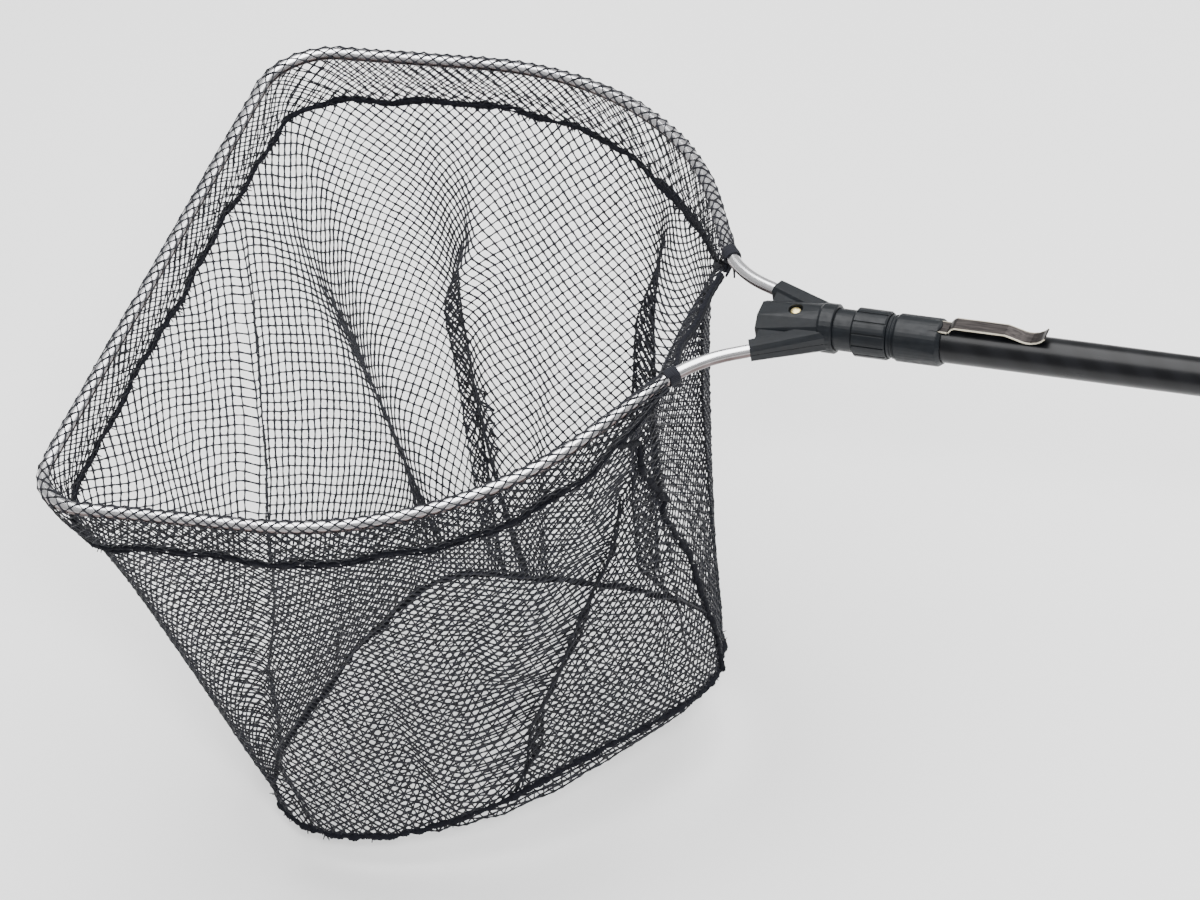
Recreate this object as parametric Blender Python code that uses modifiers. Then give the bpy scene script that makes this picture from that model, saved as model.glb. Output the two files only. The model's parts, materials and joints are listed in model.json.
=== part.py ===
"""Landing net: a D-shaped aluminium hoop with a deep netting bag, a black moulded yoke, a screw
collar, a faceted ferrule with a spring belt clip, and a two-section telescopic handle.

Metres, +Z up. The pole lies along X with the head towards -X and the butt towards +X. The origin
is on the pole's axis at the middle of the hand grip.
"""

import math

import bmesh
import bpy
from mathutils import Matrix, Vector

# Stations along the pole, measured from the yoke's reference point towards the butt.
YOKE_X = -0.760
YOKE_FRONT, YOKE_REAR = -0.0165, 0.0350
SOCKET_FLOOR = 0.0284
COLLAR_FRONT, COLLAR_STEP, COLLAR_REAR = 0.0300, 0.0470, 0.0705
FERRULE_NOSE, FERRULE_SHOULDER, FERRULE_REAR = 0.0560, 0.0750, 0.1065
OUTER_FRONT, OUTER_REAR = 0.0823, 0.6200
LOCK_FRONT, LOCK_REAR = 0.5880, 0.6400
NUT_FRONT, NUT_REAR = 0.6080, 0.6460
INNER_FRONT, INNER_REAR = 0.1500, 0.8780
BUSH_LENGTH = 0.0250
GRIP_FRONT, GRIP_REAR = 0.6600, 0.8600
CAP_REAR = 0.8850

# Radii.
HOOP_TUBE = 0.00425
HOOP_WALL = 0.0010
OUTER_TUBE = 0.0125
INNER_TUBE = 0.0095
TUBE_WALL = 0.0012
STEM, STEM_FLANGE = 0.0060, 0.0100
SPIGOT = 0.0055
RIVET = 0.0020
COLLAR_NECK, COLLAR_RIBS = 0.01365, 0.0158
THREAD = 0.0143
FERRULE = 0.0155
GAP = 0.0003

# The hoop's outline, in its own plane.
HOOP_FRONT = -0.441
HALF_WIDTH = 0.236
CORNER_RADIUS = 0.041
SHOULDER_START = -0.281
SHOULDER_RADIUS, SHOULDER_TURN = 0.214, math.radians(61.5)
ARM_STRAIGHT = 0.062
FAR_EASE = 0.014
NECK_RADIUS, NECK_TURN = 0.080, math.radians(37.5)
TAIL_STRAIGHT = 0.034
HEAD_DROOP = math.radians(3.4)

# The bag.
NET = 0.0016
SEAM_DROP = 0.033
# The seam hangs slacker round the far shoulder, and then climbs to its binding more steeply.
FAR_SLACK, FAR_SLACK_AT, FAR_SLACK_SPREAD = 0.014, 0.555, 0.095
CLIMB_NEAR, CLIMB_FAR = 0.075, 0.045
SEAM_CORD = 0.0018
BINDING_X = -0.058
BASE_SAG = 0.012
# The near rear of the base is cut full, so it hangs straight down below its seam there.
BASE_HANG, HANG_AT, HANG_SPREAD = 0.014, -0.52, 0.15
# The free edge between the arms bows forward by this much.
MOUTH_BOW = 0.010
WAIST, BACK_WAIST = 0.008, 0.010

# The seam round the bag's base, which hangs a little askew: points it runs through, on the far
# (+Y) side and on the near side, from the front to the rear.
BASE_FRONT = Vector((-0.358, -0.022, -0.361))
BASE_FAR = [
    Vector((-0.336, 0.042, -0.352)),
    Vector((-0.310, 0.080, -0.348)),
    Vector((-0.262, 0.088, -0.346)),
    Vector((-0.203, 0.092, -0.346)),
    Vector((-0.160, 0.089, -0.345)),
    Vector((-0.112, 0.070, -0.341)),
]
BASE_NEAR = [
    Vector((-0.373, -0.092, -0.370)),
    Vector((-0.352, -0.136, -0.375)),
    Vector((-0.307, -0.152, -0.374)),
    Vector((-0.240, -0.142, -0.366)),
    Vector((-0.182, -0.118, -0.352)),
    Vector((-0.128, -0.078, -0.332)),
    Vector((-0.096, -0.034, -0.327)),
]
BASE_REAR = Vector((-0.088, 0.014, -0.332))
BASE_CENTRE = Vector((-0.235, -0.025, -0.352))

# The rivet that pins the stem in the yoke.
RIVET_X = 0.0077
RIVET_SEAT = 0.0095
RIVET_HEAD, RIVET_DOME = 0.0040, 0.0026

# The belt clip.
CLIP_FOOT = 0.0985
CLIP_WIDTH, CLIP_STEEL = 0.0110, 0.0009
CLIP_HEIGHT = 0.0176
CLIP_PIVOT = Vector((0.1106, 0.0, 0.01325))

HEAD = Matrix.Translation((YOKE_X, 0, 0)) @ Matrix.Rotation(-HEAD_DROOP, 4, "Y")
POLE = Matrix.Translation((YOKE_X, 0, 0))
ALONG_X = Matrix.Rotation(math.pi / 2, 4, "Y")


# ---------------------------------------------------------------- scene and materials
def empty_scene():
    for old in list(bpy.data.objects):
        bpy.data.objects.remove(old, do_unlink=True)


def collection(name):
    made = bpy.data.collections.new(name)
    bpy.context.scene.collection.children.link(made)
    return made


def material(name, colour, roughness, metallic=0.0):
    made = bpy.data.materials.new(name)
    made.use_nodes = True
    shader = made.node_tree.nodes["Principled BSDF"]
    shader.inputs["Base Color"].default_value = (*colour, 1.0)
    shader.inputs["Roughness"].default_value = roughness
    shader.inputs["Metallic"].default_value = metallic
    return made


# ---------------------------------------------------------------- shape tools
def place(name, data, group, paint=None, frame=None):
    obj = bpy.data.objects.new(name, data)
    group.objects.link(obj)
    if paint is not None:
        data.materials.append(paint)
    if frame is not None:
        obj.matrix_world = frame
    return obj


def from_bmesh(name, shape, group, paint=None, frame=None):
    bmesh.ops.recalc_face_normals(shape, faces=shape.faces)
    data = bpy.data.meshes.new(name)
    shape.to_mesh(data)
    shape.free()
    return place(name, data, group, paint, frame)


def turned(name, profile, group, paint=None, steps=32, frame=POLE):
    """A ring or rod turned about the pole's axis. The profile is (station, radius) points: down
    the outer side from the butt end to the head end, then back along the bore if there is one."""
    shape = bmesh.new()
    points = [shape.verts.new((radius, 0, station)) for station, radius in profile]
    for a, b in zip(points, points[1:]):
        shape.edges.new((a, b))
    if min(radius for _, radius in profile) > 0:
        shape.edges.new((points[-1], points[0]))
    data = bpy.data.meshes.new(name)
    shape.to_mesh(data)
    shape.free()
    obj = place(name, data, group, paint, frame @ ALONG_X)
    screw = obj.modifiers.new("Turn", "SCREW")
    screw.angle = 2 * math.pi
    screw.steps = screw.render_steps = steps
    screw.use_merge_vertices = True
    screw.merge_threshold = 0.00005
    screw.use_normal_calculate = False
    return obj


def bar(name, points, radius, group, paint=None, resolution=2, closed=False, caps=True):
    """A round bar, wire or cord along a list of points."""
    data = bpy.data.curves.new(name, "CURVE")
    data.dimensions = "3D"
    spline = data.splines.new("POLY")
    spline.points.add(len(points) - 1)
    for target, point in zip(spline.points, points):
        target.co = (*point, 1.0)
    spline.use_cyclic_u = closed
    data.bevel_depth = radius
    data.bevel_resolution = resolution
    data.use_fill_caps = caps and not closed
    return place(name, data, group, paint)


def hull(name, points, group, frame=POLE):
    shape = bmesh.new()
    for point in points:
        shape.verts.new(point)
    made = bmesh.ops.convex_hull(shape, input=shape.verts)
    inner = [v for v in made["geom_interior"] if isinstance(v, bmesh.types.BMVert)]
    bmesh.ops.delete(shape, geom=inner, context="VERTS")
    return from_bmesh(name, shape, group, frame=frame)


def block(name, low, high, group, frame=POLE):
    shape = bmesh.new()
    bmesh.ops.create_cube(shape, size=1.0)
    size = Vector(high) - Vector(low)
    middle = (Vector(high) + Vector(low)) / 2
    bmesh.ops.scale(shape, vec=size, verts=shape.verts)
    bmesh.ops.translate(shape, vec=middle, verts=shape.verts)
    return from_bmesh(name, shape, group, frame=frame)


def as_mesh(obj, group):
    """The evaluated object as a plain mesh object, with a curve's caps welded on."""
    bpy.context.view_layer.update()
    evaluated = obj.evaluated_get(bpy.context.evaluated_depsgraph_get())
    data = bpy.data.meshes.new_from_object(evaluated)
    shape = bmesh.new()
    shape.from_mesh(data)
    bmesh.ops.remove_doubles(shape, verts=shape.verts, dist=0.00001)
    shape.to_mesh(data)
    shape.free()
    name, frame = obj.name, obj.matrix_world.copy()
    bpy.data.objects.remove(obj)
    made = place(name, data, group)
    made.matrix_world = frame
    return made


def combine(target, other, operation):
    step = target.modifiers.new(other.name, "BOOLEAN")
    step.operation = operation
    step.solver = "EXACT"
    step.object = other
    other.hide_render = True
    other.display_type = "WIRE"


def sheet(name, rows, group, paint, thickness=NET):
    """A thin panel through rows of points, thickened evenly to both sides."""
    shape = bmesh.new()
    grid = [[shape.verts.new(point) for point in row] for row in rows]
    for upper, lower in zip(grid, grid[1:]):
        for corners in zip(upper, upper[1:], lower[1:], lower):
            shape.faces.new(corners)
    obj = from_bmesh(name, shape, group, paint)
    shell = obj.modifiers.new("Thickness", "SOLIDIFY")
    shell.thickness = thickness
    shell.offset = 0
    return obj


# ---------------------------------------------------------------- outlines
def hoop_half(ease=0.0):
    """The hoop's centreline from the middle of the front bar to its end in the yoke, one side.

    Ease starts the shoulder that much earlier, with the larger radius that meets the same arm."""
    path = [Vector((HOOP_FRONT, 0))]
    heading = math.pi / 2

    def forward(distance):
        path.append(path[-1] + distance * Vector((math.cos(heading), math.sin(heading))))

    def bend(radius, turn, steps):
        nonlocal heading
        for _ in range(steps):
            heading += turn / steps / 2
            forward(2 * radius * math.sin(abs(turn) / steps / 2))
            heading += turn / steps / 2

    forward(HALF_WIDTH - CORNER_RADIUS)
    bend(CORNER_RADIUS, -math.pi / 2, 9)
    forward(SHOULDER_START - ease - path[-1].x)
    bend(SHOULDER_RADIUS + ease / math.tan(SHOULDER_TURN / 2), -SHOULDER_TURN, 9)
    forward(ARM_STRAIGHT - ease)
    bend(NECK_RADIUS, NECK_TURN, 6)
    forward(TAIL_STRAIGHT)
    return path


def length_of(path):
    return sum((b - a).length for a, b in zip(path, path[1:]))


def station(path, distance):
    """The point at a distance along a path, and the path's direction there."""
    for a, b in zip(path, path[1:]):
        step = (b - a).length
        if distance <= step or b is path[-1]:
            return a + (b - a) * (distance / step), (b - a).normalized()
        distance -= step


def distance_to_x(path, x):
    """How far along the path it last crosses the given x."""
    travelled, found = 0.0, 0.0
    for a, b in zip(path, path[1:]):
        if a.x < x <= b.x:
            found = travelled + (b - a).length * (x - a.x) / (b.x - a.x)
        travelled += (b - a).length
    return found


HALVES = {1: hoop_half(FAR_EASE), -1: hoop_half()}
AT_BINDING = {side: distance_to_x(half, BINDING_X) for side, half in HALVES.items()}
BINDING_AT = AT_BINDING[-1]
MOUTH_HALF = station(HALVES[-1], BINDING_AT)[0].y
RIM_HALF = BINDING_AT + MOUTH_HALF


def mouth_bow(y):
    """How far forward the free edge of the net between the arms bows."""
    return MOUTH_BOW * (1 - min(abs(y) / MOUTH_HALF, 1.0) ** 2)


def rim(distance):
    """The rim of the bag in the hoop's plane: along the hoop, then straight across the mouth.

    Distance runs from the middle of the front bar, positive on the +Y side. Returns the point
    and the outward direction."""
    side = 1 if distance >= 0 else -1
    away = abs(distance)
    if away <= BINDING_AT:
        point, heading = station(HALVES[side], away * AT_BINDING[side] / BINDING_AT)
        outward = Vector((-heading.y, heading.x))
    else:
        y = MOUTH_HALF - (away - BINDING_AT)
        point = Vector((BINDING_X - mouth_bow(y), y))
        outward = Vector((1, 0))
    return Vector((point.x, side * point.y)), Vector((outward.x, side * outward.y))


def smooth_run(corners, steps=5):
    """A smooth line through points: Catmull-Rom, with the first and last points as handles."""
    path = []
    for a, b, c, d in zip(corners, corners[1:], corners[2:], corners[3:]):
        for k in range(steps):
            t = k / steps
            curve = (2 * a - 5 * b + 4 * c - d) * t**2 + (3 * b - a - 3 * c + d) * t**3
            path.append(b + ((c - a) * t + curve) / 2)
    return path + [corners[-2]]


FAR_SIDE = smooth_run([BASE_NEAR[1], BASE_FRONT, *BASE_FAR, BASE_REAR, BASE_NEAR[-1]])
NEAR_SIDE = smooth_run([BASE_FAR[0], BASE_FRONT, *BASE_NEAR, BASE_REAR, BASE_FAR[-1]])


def base_hang(distance):
    """How far the base panel hangs below its seam before it turns in."""
    return BASE_HANG * math.exp(-(((distance - HANG_AT) / HANG_SPREAD) ** 2))


def base(distance, inset=0.0):
    """The base seam at the place that hangs below the rim at this distance, in world metres."""
    side = FAR_SIDE if distance >= 0 else NEAR_SIDE
    share = min(abs(distance) / RIM_HALF, 1.0)
    point, heading = station(side, share * length_of(side))
    outward = Vector((-heading.y, heading.x, 0)).normalized()
    if distance < 0:
        outward = -outward
    return POLE @ (point - outward * inset + Vector((0, 0, base_hang(distance))))


def mouth_sag(y):
    """How far the free edge of the net between the arms sags."""
    return 0.010 * (1 - min(abs(y) / MOUTH_HALF, 1.0) ** 2)


def seam_drop(distance):
    """How far the bag's top seam hangs below the hoop's plane: less as it climbs to the bindings,
    and just under the edge tape across the mouth."""
    left = BINDING_AT - abs(distance)
    if left < 0:
        return 0.0088 + mouth_sag(MOUTH_HALF + left)
    slack = FAR_SLACK * math.exp(-(((distance - FAR_SLACK_AT) / FAR_SLACK_SPREAD) ** 2))
    climb = CLIMB_FAR if distance > 0 else CLIMB_NEAR
    return 0.0088 + (SEAM_DROP + slack - 0.0088) * min(left / climb, 1.0)


def wall(distance, share, outward_shift=0.0):
    """A point of the bag's wall: share 0 at the rim seam, 1 at the base seam, below 0 up to
    the hoop."""
    flat, outward = rim(distance)
    inset = 0.004 - outward_shift
    drop = seam_drop(distance)
    if share <= 0:
        top = HOOP_TUBE + NET / 2 + GAP
        drop += (drop - top) * share
        return HEAD @ Vector((*(flat - outward * inset), -drop))
    back = min(max((abs(distance) - BINDING_AT) / 0.040 + 1, 0.0), 1.0)
    waist = (WAIST + BACK_WAIST * back) * math.sin(math.pi * share**0.45)
    seam = HEAD @ Vector((*(flat - outward * inset), -drop))
    hung = seam.lerp(base(distance, inset=-outward_shift), share)
    return hung - Vector((*outward, 0)) * waist


# ---------------------------------------------------------------- the hoop and the yoke
def hoop_path(extra=0.0):
    """Both sides of the hoop in world metres, its ends drawn out by a little if asked."""
    far = [HEAD @ Vector((*point, 0)) for point in HALVES[1]]
    near = [HEAD @ Vector((point.x, -point.y, 0)) for point in HALVES[-1][1:]]
    for side in (far, near):
        side[-1] = side[-1] + (side[-1] - side[-2]).normalized() * extra
    return near[::-1] + far


def make_hoop(parts, paint):
    hoop = bar("hoop_tube", hoop_path(), HOOP_TUBE, parts, paint, 4, caps=False)
    shell = hoop.modifiers.new("Wall", "SOLIDIFY")
    shell.thickness = HOOP_WALL
    shell.offset = -1


def octagon(centre, across, half_width, half_height, chamfer):
    """Eight points round a centre, in the plane of the direction across and +Z."""
    outline = [(half_width, half_height - chamfer), (half_width - chamfer, half_height)]
    return [
        Vector(centre) + across * sy * y + Vector((0, 0, sz * z))
        for y, z in outline
        for sy in (-1, 1)
        for sz in (-1, 1)
    ]


def ring_points(x, radius, count=24):
    angles = [2 * math.pi * k / count for k in range(count)]
    return [Vector((x, radius * math.cos(a), radius * math.sin(a))) for a in angles]


def yoke_form(cutters):
    """The whole outside of the yoke: a ridged middle, two arm sheaths, a web and a round rim."""
    outline = [(0.0065, 0.0098), (0.0140, 0.0042)]
    front = [
        Vector((YOKE_FRONT, sy * y, sz * z)) for y, z in outline for sy in (-1, 1) for sz in (-1, 1)
    ]
    form = hull("yoke_form", front + ring_points(YOKE_REAR - 0.0025, 0.0158), cutters)
    slant = math.radians(24)
    for side in (-1, 1):
        across = Vector((side * math.sin(slant), math.cos(slant), 0))
        tip = octagon((-0.0150, side * 0.0300, -0.0008), across, 0.0062, 0.0062, 0.0026)
        root = octagon((0.0310, side * 0.0078, 0), Vector((0, 1, 0)), 0.0078, 0.0080, 0.0030)
        combine(form, hull("yoke_sheath", tip + root, cutters), "UNION")
    web_front = [Vector((-0.0135, sy * 0.0270, sz * 0.0040)) for sy in (-1, 1) for sz in (-1, 1)]
    web_rear = [Vector((0.0300, sy * 0.0100, sz * 0.0060)) for sy in (-1, 1) for sz in (-1, 1)]
    combine(form, hull("yoke_web", web_front + web_rear, cutters), "UNION")
    edge = [(YOKE_REAR, 0.0153), (YOKE_REAR - 0.0008, 0.0161), (0.0260, 0.0161), (0.0200, 0.0120)]
    rim_profile = [(YOKE_REAR, 0)] + edge + [(0.0200, 0)]
    combine(form, turned("yoke_rim", rim_profile, cutters), "UNION")
    return as_mesh(form, cutters)


def upright(x):
    """A frame for a turned piece that stands on the pole's axis, its stations along +Z."""
    return POLE @ Matrix.Translation((x, 0, 0)) @ ALONG_X.inverted()


def make_yoke(parts, cutters, paint):
    form = yoke_form(cutters)
    arms = bar("yoke_arm_bores", hoop_path(GAP), HOOP_TUBE + GAP, cutters, resolution=4)
    arms = as_mesh(arms, cutters)
    socket = [
        (YOKE_REAR + 0.002, 0),
        (YOKE_REAR + 0.002, COLLAR_NECK + GAP),
        (SOCKET_FLOOR, COLLAR_NECK + GAP),
        (SOCKET_FLOOR, STEM + GAP),
        (-0.0093, STEM + GAP),
        (-0.0093, 0),
    ]
    stem_bore = turned("yoke_stem_bore", socket, cutters)
    countersinks = [
        (0.0200, 0),
        (0.0200, 0.0050),
        (RIVET_SEAT, 0.0047),
        (RIVET_SEAT, RIVET + GAP),
        (-RIVET_SEAT, RIVET + GAP),
        (-RIVET_SEAT, 0.0042),
        (-0.0200, 0.0042),
        (-0.0200, 0),
    ]
    rivet_bore = turned("yoke_rivet_bore", countersinks, cutters, None, 24, upright(RIVET_X))
    halves = (("yoke_upper_shell", -0.06, GAP / 2), ("yoke_lower_shell", -GAP / 2, 0.06))
    for name, low, high in halves:
        shell = place(name, form.data.copy(), parts, paint, form.matrix_world)
        waste = block(f"{name}_waste", (-0.06, -0.06, low), (0.06, 0.06, high), cutters)
        for cutter in (waste, arms, stem_bore, rivet_bore):
            combine(shell, cutter, "DIFFERENCE")
    form.hide_render = True
    form.display_type = "WIRE"


def make_rivet(parts, paint):
    dome = [
        (RIVET_SEAT + GAP + RIVET_DOME * math.sin(a), RIVET_HEAD * math.cos(a))
        for a in (math.radians(turn) for turn in (90, 65, 42, 20, 0))
    ]
    shank = [(RIVET_SEAT + GAP, RIVET), (-RIVET_SEAT - GAP, RIVET)]
    tail = [(-RIVET_SEAT - GAP, 0.0033), (-RIVET_SEAT - 0.0013, 0.0027), (-RIVET_SEAT - 0.0015, 0)]
    dome[0] = (dome[0][0], 0)
    turned("yoke_rivet", dome + shank + tail, parts, paint, 20, upright(RIVET_X))


def make_stem(parts, cutters, paint):
    """The spigot: pinned in the yoke by the rivet, held by its flange under the collar's
    shoulder, with a square end that keys the head into the ferrule."""
    profile = [
        (0.0520, 0),
        (0.0520, STEM_FLANGE),
        (0.0483, STEM_FLANGE),
        (0.0483, STEM),
        (-0.0090, STEM),
        (-0.0090, 0),
    ]
    stem = as_mesh(turned("head_stem", profile, parts, steps=28), parts)
    stem.data.materials.clear()
    stem.data.materials.append(paint)
    square = ((0.0510, -SPIGOT, -SPIGOT), (0.0800, SPIGOT, SPIGOT))
    combine(stem, block("head_stem_spigot", *square, cutters), "UNION")
    hole = [(0.0120, 0), (0.0120, RIVET + GAP), (-0.0120, RIVET + GAP), (-0.0120, 0)]
    combine(
        stem, turned("head_stem_hole", hole, cutters, None, 20, upright(RIVET_X)), "DIFFERENCE"
    )


# ---------------------------------------------------------------- the screw coupling
def prism(name, sides, reach_front, reach_rear, front, rear, turn, group):
    """A many-sided bar along the pole whose flats lie at the given reaches from the axis."""
    points = []
    for x, reach in ((front, reach_front), (rear, reach_rear)):
        corner = reach / math.cos(math.pi / sides)
        for k in range(sides):
            angle = turn + math.pi * (2 * k + 1) / sides
            points.append(Vector((x, corner * math.cos(angle), corner * math.sin(angle))))
    return hull(name, points, group)


def grooves(name, count, radius, depth, width, front, rear, turn, group):
    """Straight slots round a ring, as one cutter."""
    shape = bmesh.new()
    for k in range(count):
        spin = Matrix.Rotation(turn + 2 * math.pi * k / count, 4, "X")
        made = bmesh.ops.create_cube(shape, size=1.0)["verts"]
        bmesh.ops.scale(shape, vec=(rear - front, 2 * depth, width), verts=made)
        bmesh.ops.translate(shape, vec=((front + rear) / 2, radius, 0), verts=made)
        bmesh.ops.transform(shape, matrix=spin, verts=made)
    return from_bmesh(name, shape, group, frame=POLE)


def make_collar(parts, cutters, paint):
    profile = [
        (COLLAR_REAR, 0.0149),
        (COLLAR_REAR - 0.0013, COLLAR_RIBS),
        (COLLAR_STEP + 0.0015, COLLAR_RIBS),
        (COLLAR_STEP, COLLAR_NECK),
        (COLLAR_FRONT, COLLAR_NECK),
        (COLLAR_FRONT, STEM + 2 * GAP),
        (0.0480, STEM + 2 * GAP),
        (0.0480, STEM_FLANGE + 0.0004),
        (0.0545, STEM_FLANGE + 0.0004),
        (0.0545, THREAD + GAP),
        (COLLAR_REAR, THREAD + GAP),
    ]
    collar = turned("coupling_collar", profile, parts, paint, 48)
    turn = math.radians(23.6)
    flats = prism("collar_flats", 12, 0.01575, 0.01575, 0.0200, 0.0800, turn, cutters)
    combine(collar, flats, "INTERSECT")
    slots = grooves(
        "collar_slots", 12, COLLAR_RIBS, 0.0007, 0.0011, 0.0485, 0.0720, turn, cutters
    )
    combine(collar, slots, "DIFFERENCE")


def make_washer(parts, paint):
    front, rear = SOCKET_FLOOR + GAP, COLLAR_FRONT - GAP
    profile = [(rear, 0.0130), (front, 0.0130), (front, 0.0066), (rear, 0.0066)]
    turned("thrust_washer", profile, parts, paint)


def make_ferrule(parts, cutters, paint):
    thread = []
    for k in range(6):
        start = FERRULE_SHOULDER - 0.0025 * k
        thread += [(start - 0.0002, 0.0136), (start - 0.0013, THREAD)]
    seat = OUTER_FRONT - GAP
    profile = [
        (seat, 0),
        (seat, OUTER_TUBE + GAP),
        (FERRULE_REAR, OUTER_TUBE + GAP),
        (FERRULE_REAR, 0.0137),
        (FERRULE_REAR - 0.0024, 0.0153),
        (FERRULE_REAR - 0.0030, FERRULE),
        (FERRULE_SHOULDER + 0.0016, FERRULE),
        (FERRULE_SHOULDER, 0.0144),
        *thread,
        (0.0590, 0.0136),
        (FERRULE_NOSE, 0.0131),
        (FERRULE_NOSE, 0),
    ]
    ferrule = turned("pole_ferrule", profile, parts, paint, 40)
    flats = prism("ferrule_flats", 8, 0.0160, 0.01507, 0.050, 0.112, math.radians(22.5), cutters)
    combine(ferrule, flats, "INTERSECT")
    key = SPIGOT + GAP
    combine(ferrule, block("ferrule_key", (0.050, -key, -key), (0.0825, key, key), cutters), "DIFFERENCE")
    half = CLIP_WIDTH / 2 + GAP
    slot = ((CLIP_FOOT - GAP, -half, 0.0110), (0.1080, half, 0.0140))
    combine(ferrule, block("ferrule_slot", *slot, cutters), "DIFFERENCE")


# ---------------------------------------------------------------- the belt clip
def strip(name, profile, parts, paint):
    half = CLIP_WIDTH / 2
    rows = [[POLE @ Vector((x, y, z)) for x, z in profile] for y in (-half, half)]
    return sheet(name, rows, parts, paint, CLIP_STEEL)


def make_clip(parts, paint):
    seat = CLIP_PIVOT.z
    strip("belt_clip_foot", [(CLIP_FOOT, seat), (CLIP_PIVOT.x - 0.0002, seat)], parts, paint)
    spring = [
        (CLIP_PIVOT.x + 0.0004, seat + 0.0003),
        (0.1128, 0.0158),
        (0.1139, 0.0168),
        (0.1155, CLIP_HEIGHT),
        (0.1490, CLIP_HEIGHT),
        (0.1520, 0.0167),
        (0.1600, 0.0139),
        (0.1625, 0.0134),
        (0.1655, 0.01335),
        (0.1695, 0.0144),
        (0.1730, 0.0163),
        (0.1755, 0.0187),
    ]
    arm = strip("belt_clip_spring", spring, parts, paint)
    pivot = POLE @ CLIP_PIVOT
    arm.data.transform(Matrix.Translation(-pivot))
    arm.location = pivot


# ---------------------------------------------------------------- the handle
def tube(name, front, rear, radius, parts, paint):
    bore = radius - TUBE_WALL
    turned(name, [(rear, radius), (front, radius), (front, bore), (rear, bore)], parts, paint, 40)


def make_handle(parts, cutters, paints):
    tube("outer_tube", OUTER_FRONT, OUTER_REAR, OUTER_TUBE, parts, paints["tube"])
    tube("inner_tube", INNER_FRONT, INNER_REAR, INNER_TUBE, parts, paints["inner"])
    bush_rear, slack = INNER_FRONT + BUSH_LENGTH, OUTER_TUBE - TUBE_WALL - GAP
    bush = [
        (bush_rear, slack),
        (INNER_FRONT, slack),
        (INNER_FRONT, INNER_TUBE + GAP),
        (bush_rear, INNER_TUBE + GAP),
    ]
    turned("guide_bush", bush, parts, paints["plastic"])
    make_lock(parts, cutters, paints["plastic"])
    bore = INNER_TUBE + GAP
    grip = [(GRIP_REAR, 0.0148), (GRIP_REAR - 0.0012, 0.0158)]
    for k in range(5):
        ring = GRIP_REAR - 0.020 - 0.040 * k
        grip += [(ring + 0.0020, 0.0158), (ring, 0.0148), (ring - 0.0020, 0.0158)]
    grip += [(GRIP_FRONT + 0.004, 0.0158), (GRIP_FRONT, 0.0132), (GRIP_FRONT, bore), (GRIP_REAR, bore)]
    turned("hand_grip", grip, parts, paints["foam"], 36)
    floor = INNER_REAR + GAP
    cap = [
        (floor, 0),
        (floor, bore),
        (GRIP_REAR + GAP, bore),
        (GRIP_REAR + GAP, 0.0158),
        (GRIP_REAR + 0.0020, 0.0166),
        (CAP_REAR - 0.0030, 0.0166),
        (CAP_REAR, 0.0145),
        (CAP_REAR, 0),
    ]
    turned("butt_cap", cap[::-1], parts, paints["rubber"], 36)


def make_lock(parts, cutters, paint):
    """The twist lock: a threaded sleeve whose slit collet grips the inner tube when the nut's
    cone is screwed onto it."""
    slide = INNER_TUBE + GAP
    sleeve = [
        (LOCK_REAR, 0.0110),
        (LOCK_REAR - 0.0100, 0.0128),
        (LOCK_REAR - 0.0120, 0.0141),
        (LOCK_FRONT + 0.0220, 0.0141),
        (LOCK_FRONT + 0.0195, 0.0134),
        (LOCK_FRONT + 0.0180, 0.0134),
        (LOCK_FRONT + 0.0165, 0.0152),
        (LOCK_FRONT + 0.0020, 0.0152),
        (LOCK_FRONT, 0.0138),
        (LOCK_FRONT, OUTER_TUBE + GAP),
        (OUTER_REAR + GAP, OUTER_TUBE + GAP),
        (OUTER_REAR + GAP, slide),
        (LOCK_REAR, slide),
    ]
    body = turned("lock_sleeve", sleeve, parts, paint, 36)
    slits = grooves(
        "lock_slits", 4, 0.0120, 0.0040, 0.0014, LOCK_REAR - 0.0140, LOCK_REAR + 0.002, 0, cutters
    )
    combine(body, slits, "DIFFERENCE")
    nut = [
        (NUT_REAR, 0.0128),
        (NUT_REAR - 0.0040, 0.0164),
        (NUT_FRONT + 0.0012, 0.0164),
        (NUT_FRONT, 0.0154),
        (NUT_FRONT, 0.0144),
        (LOCK_REAR - 0.0100, 0.0144),
        (LOCK_REAR - 0.0094, 0.0131),
        (LOCK_REAR + 0.0006, 0.0113),
        (LOCK_REAR + 0.0006, slide),
        (NUT_REAR, slide),
    ]
    ring = turned("lock_nut", nut, parts, paint, 36)
    slots = grooves("nut_slots", 12, 0.0164, 0.0008, 0.0014, 0.600, NUT_REAR - 0.0060, 0, cutters)
    combine(ring, slots, "DIFFERENCE")


# ---------------------------------------------------------------- the bag
def distances(start, end, steps):
    return [start + (end - start) * k / steps for k in range(steps + 1)]


def make_walls(parts, paint):
    """The bag's side wall as panels that follow the rim and taper to the base seam."""
    corner = HALF_WIDTH - CORNER_RADIUS * 0.2
    shoulder = corner + 0.205
    end = BINDING_AT - 0.009
    gap = 0.0008
    shares = (-1.0, 0.0, 0.08, 0.20, 0.40, 0.70, 1.0)
    spans = {
        "net_wall_front": distances(-corner + gap, corner - gap, 12),
        "net_wall_far": distances(corner + gap, shoulder - gap, 7),
        "net_wall_far_rear": distances(shoulder + gap, end, 8),
        "net_wall_near": distances(-shoulder + gap, -corner - gap, 7),
        "net_wall_near_rear": distances(-end, -shoulder - gap, 8),
    }
    for name, span in spans.items():
        rows = [[wall(distance, share) for distance in span] for share in shares]
        sheet(name, rows, parts, paint)
    start = BINDING_AT - 0.009 + 2 * gap
    span = distances(start, RIM_HALF, 5) + distances(-RIM_HALF, -start, 5)[1:]
    sheet("net_wall_back", [[wall(d, s) for d in span] for s in shares[1:]], parts, paint)


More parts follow.
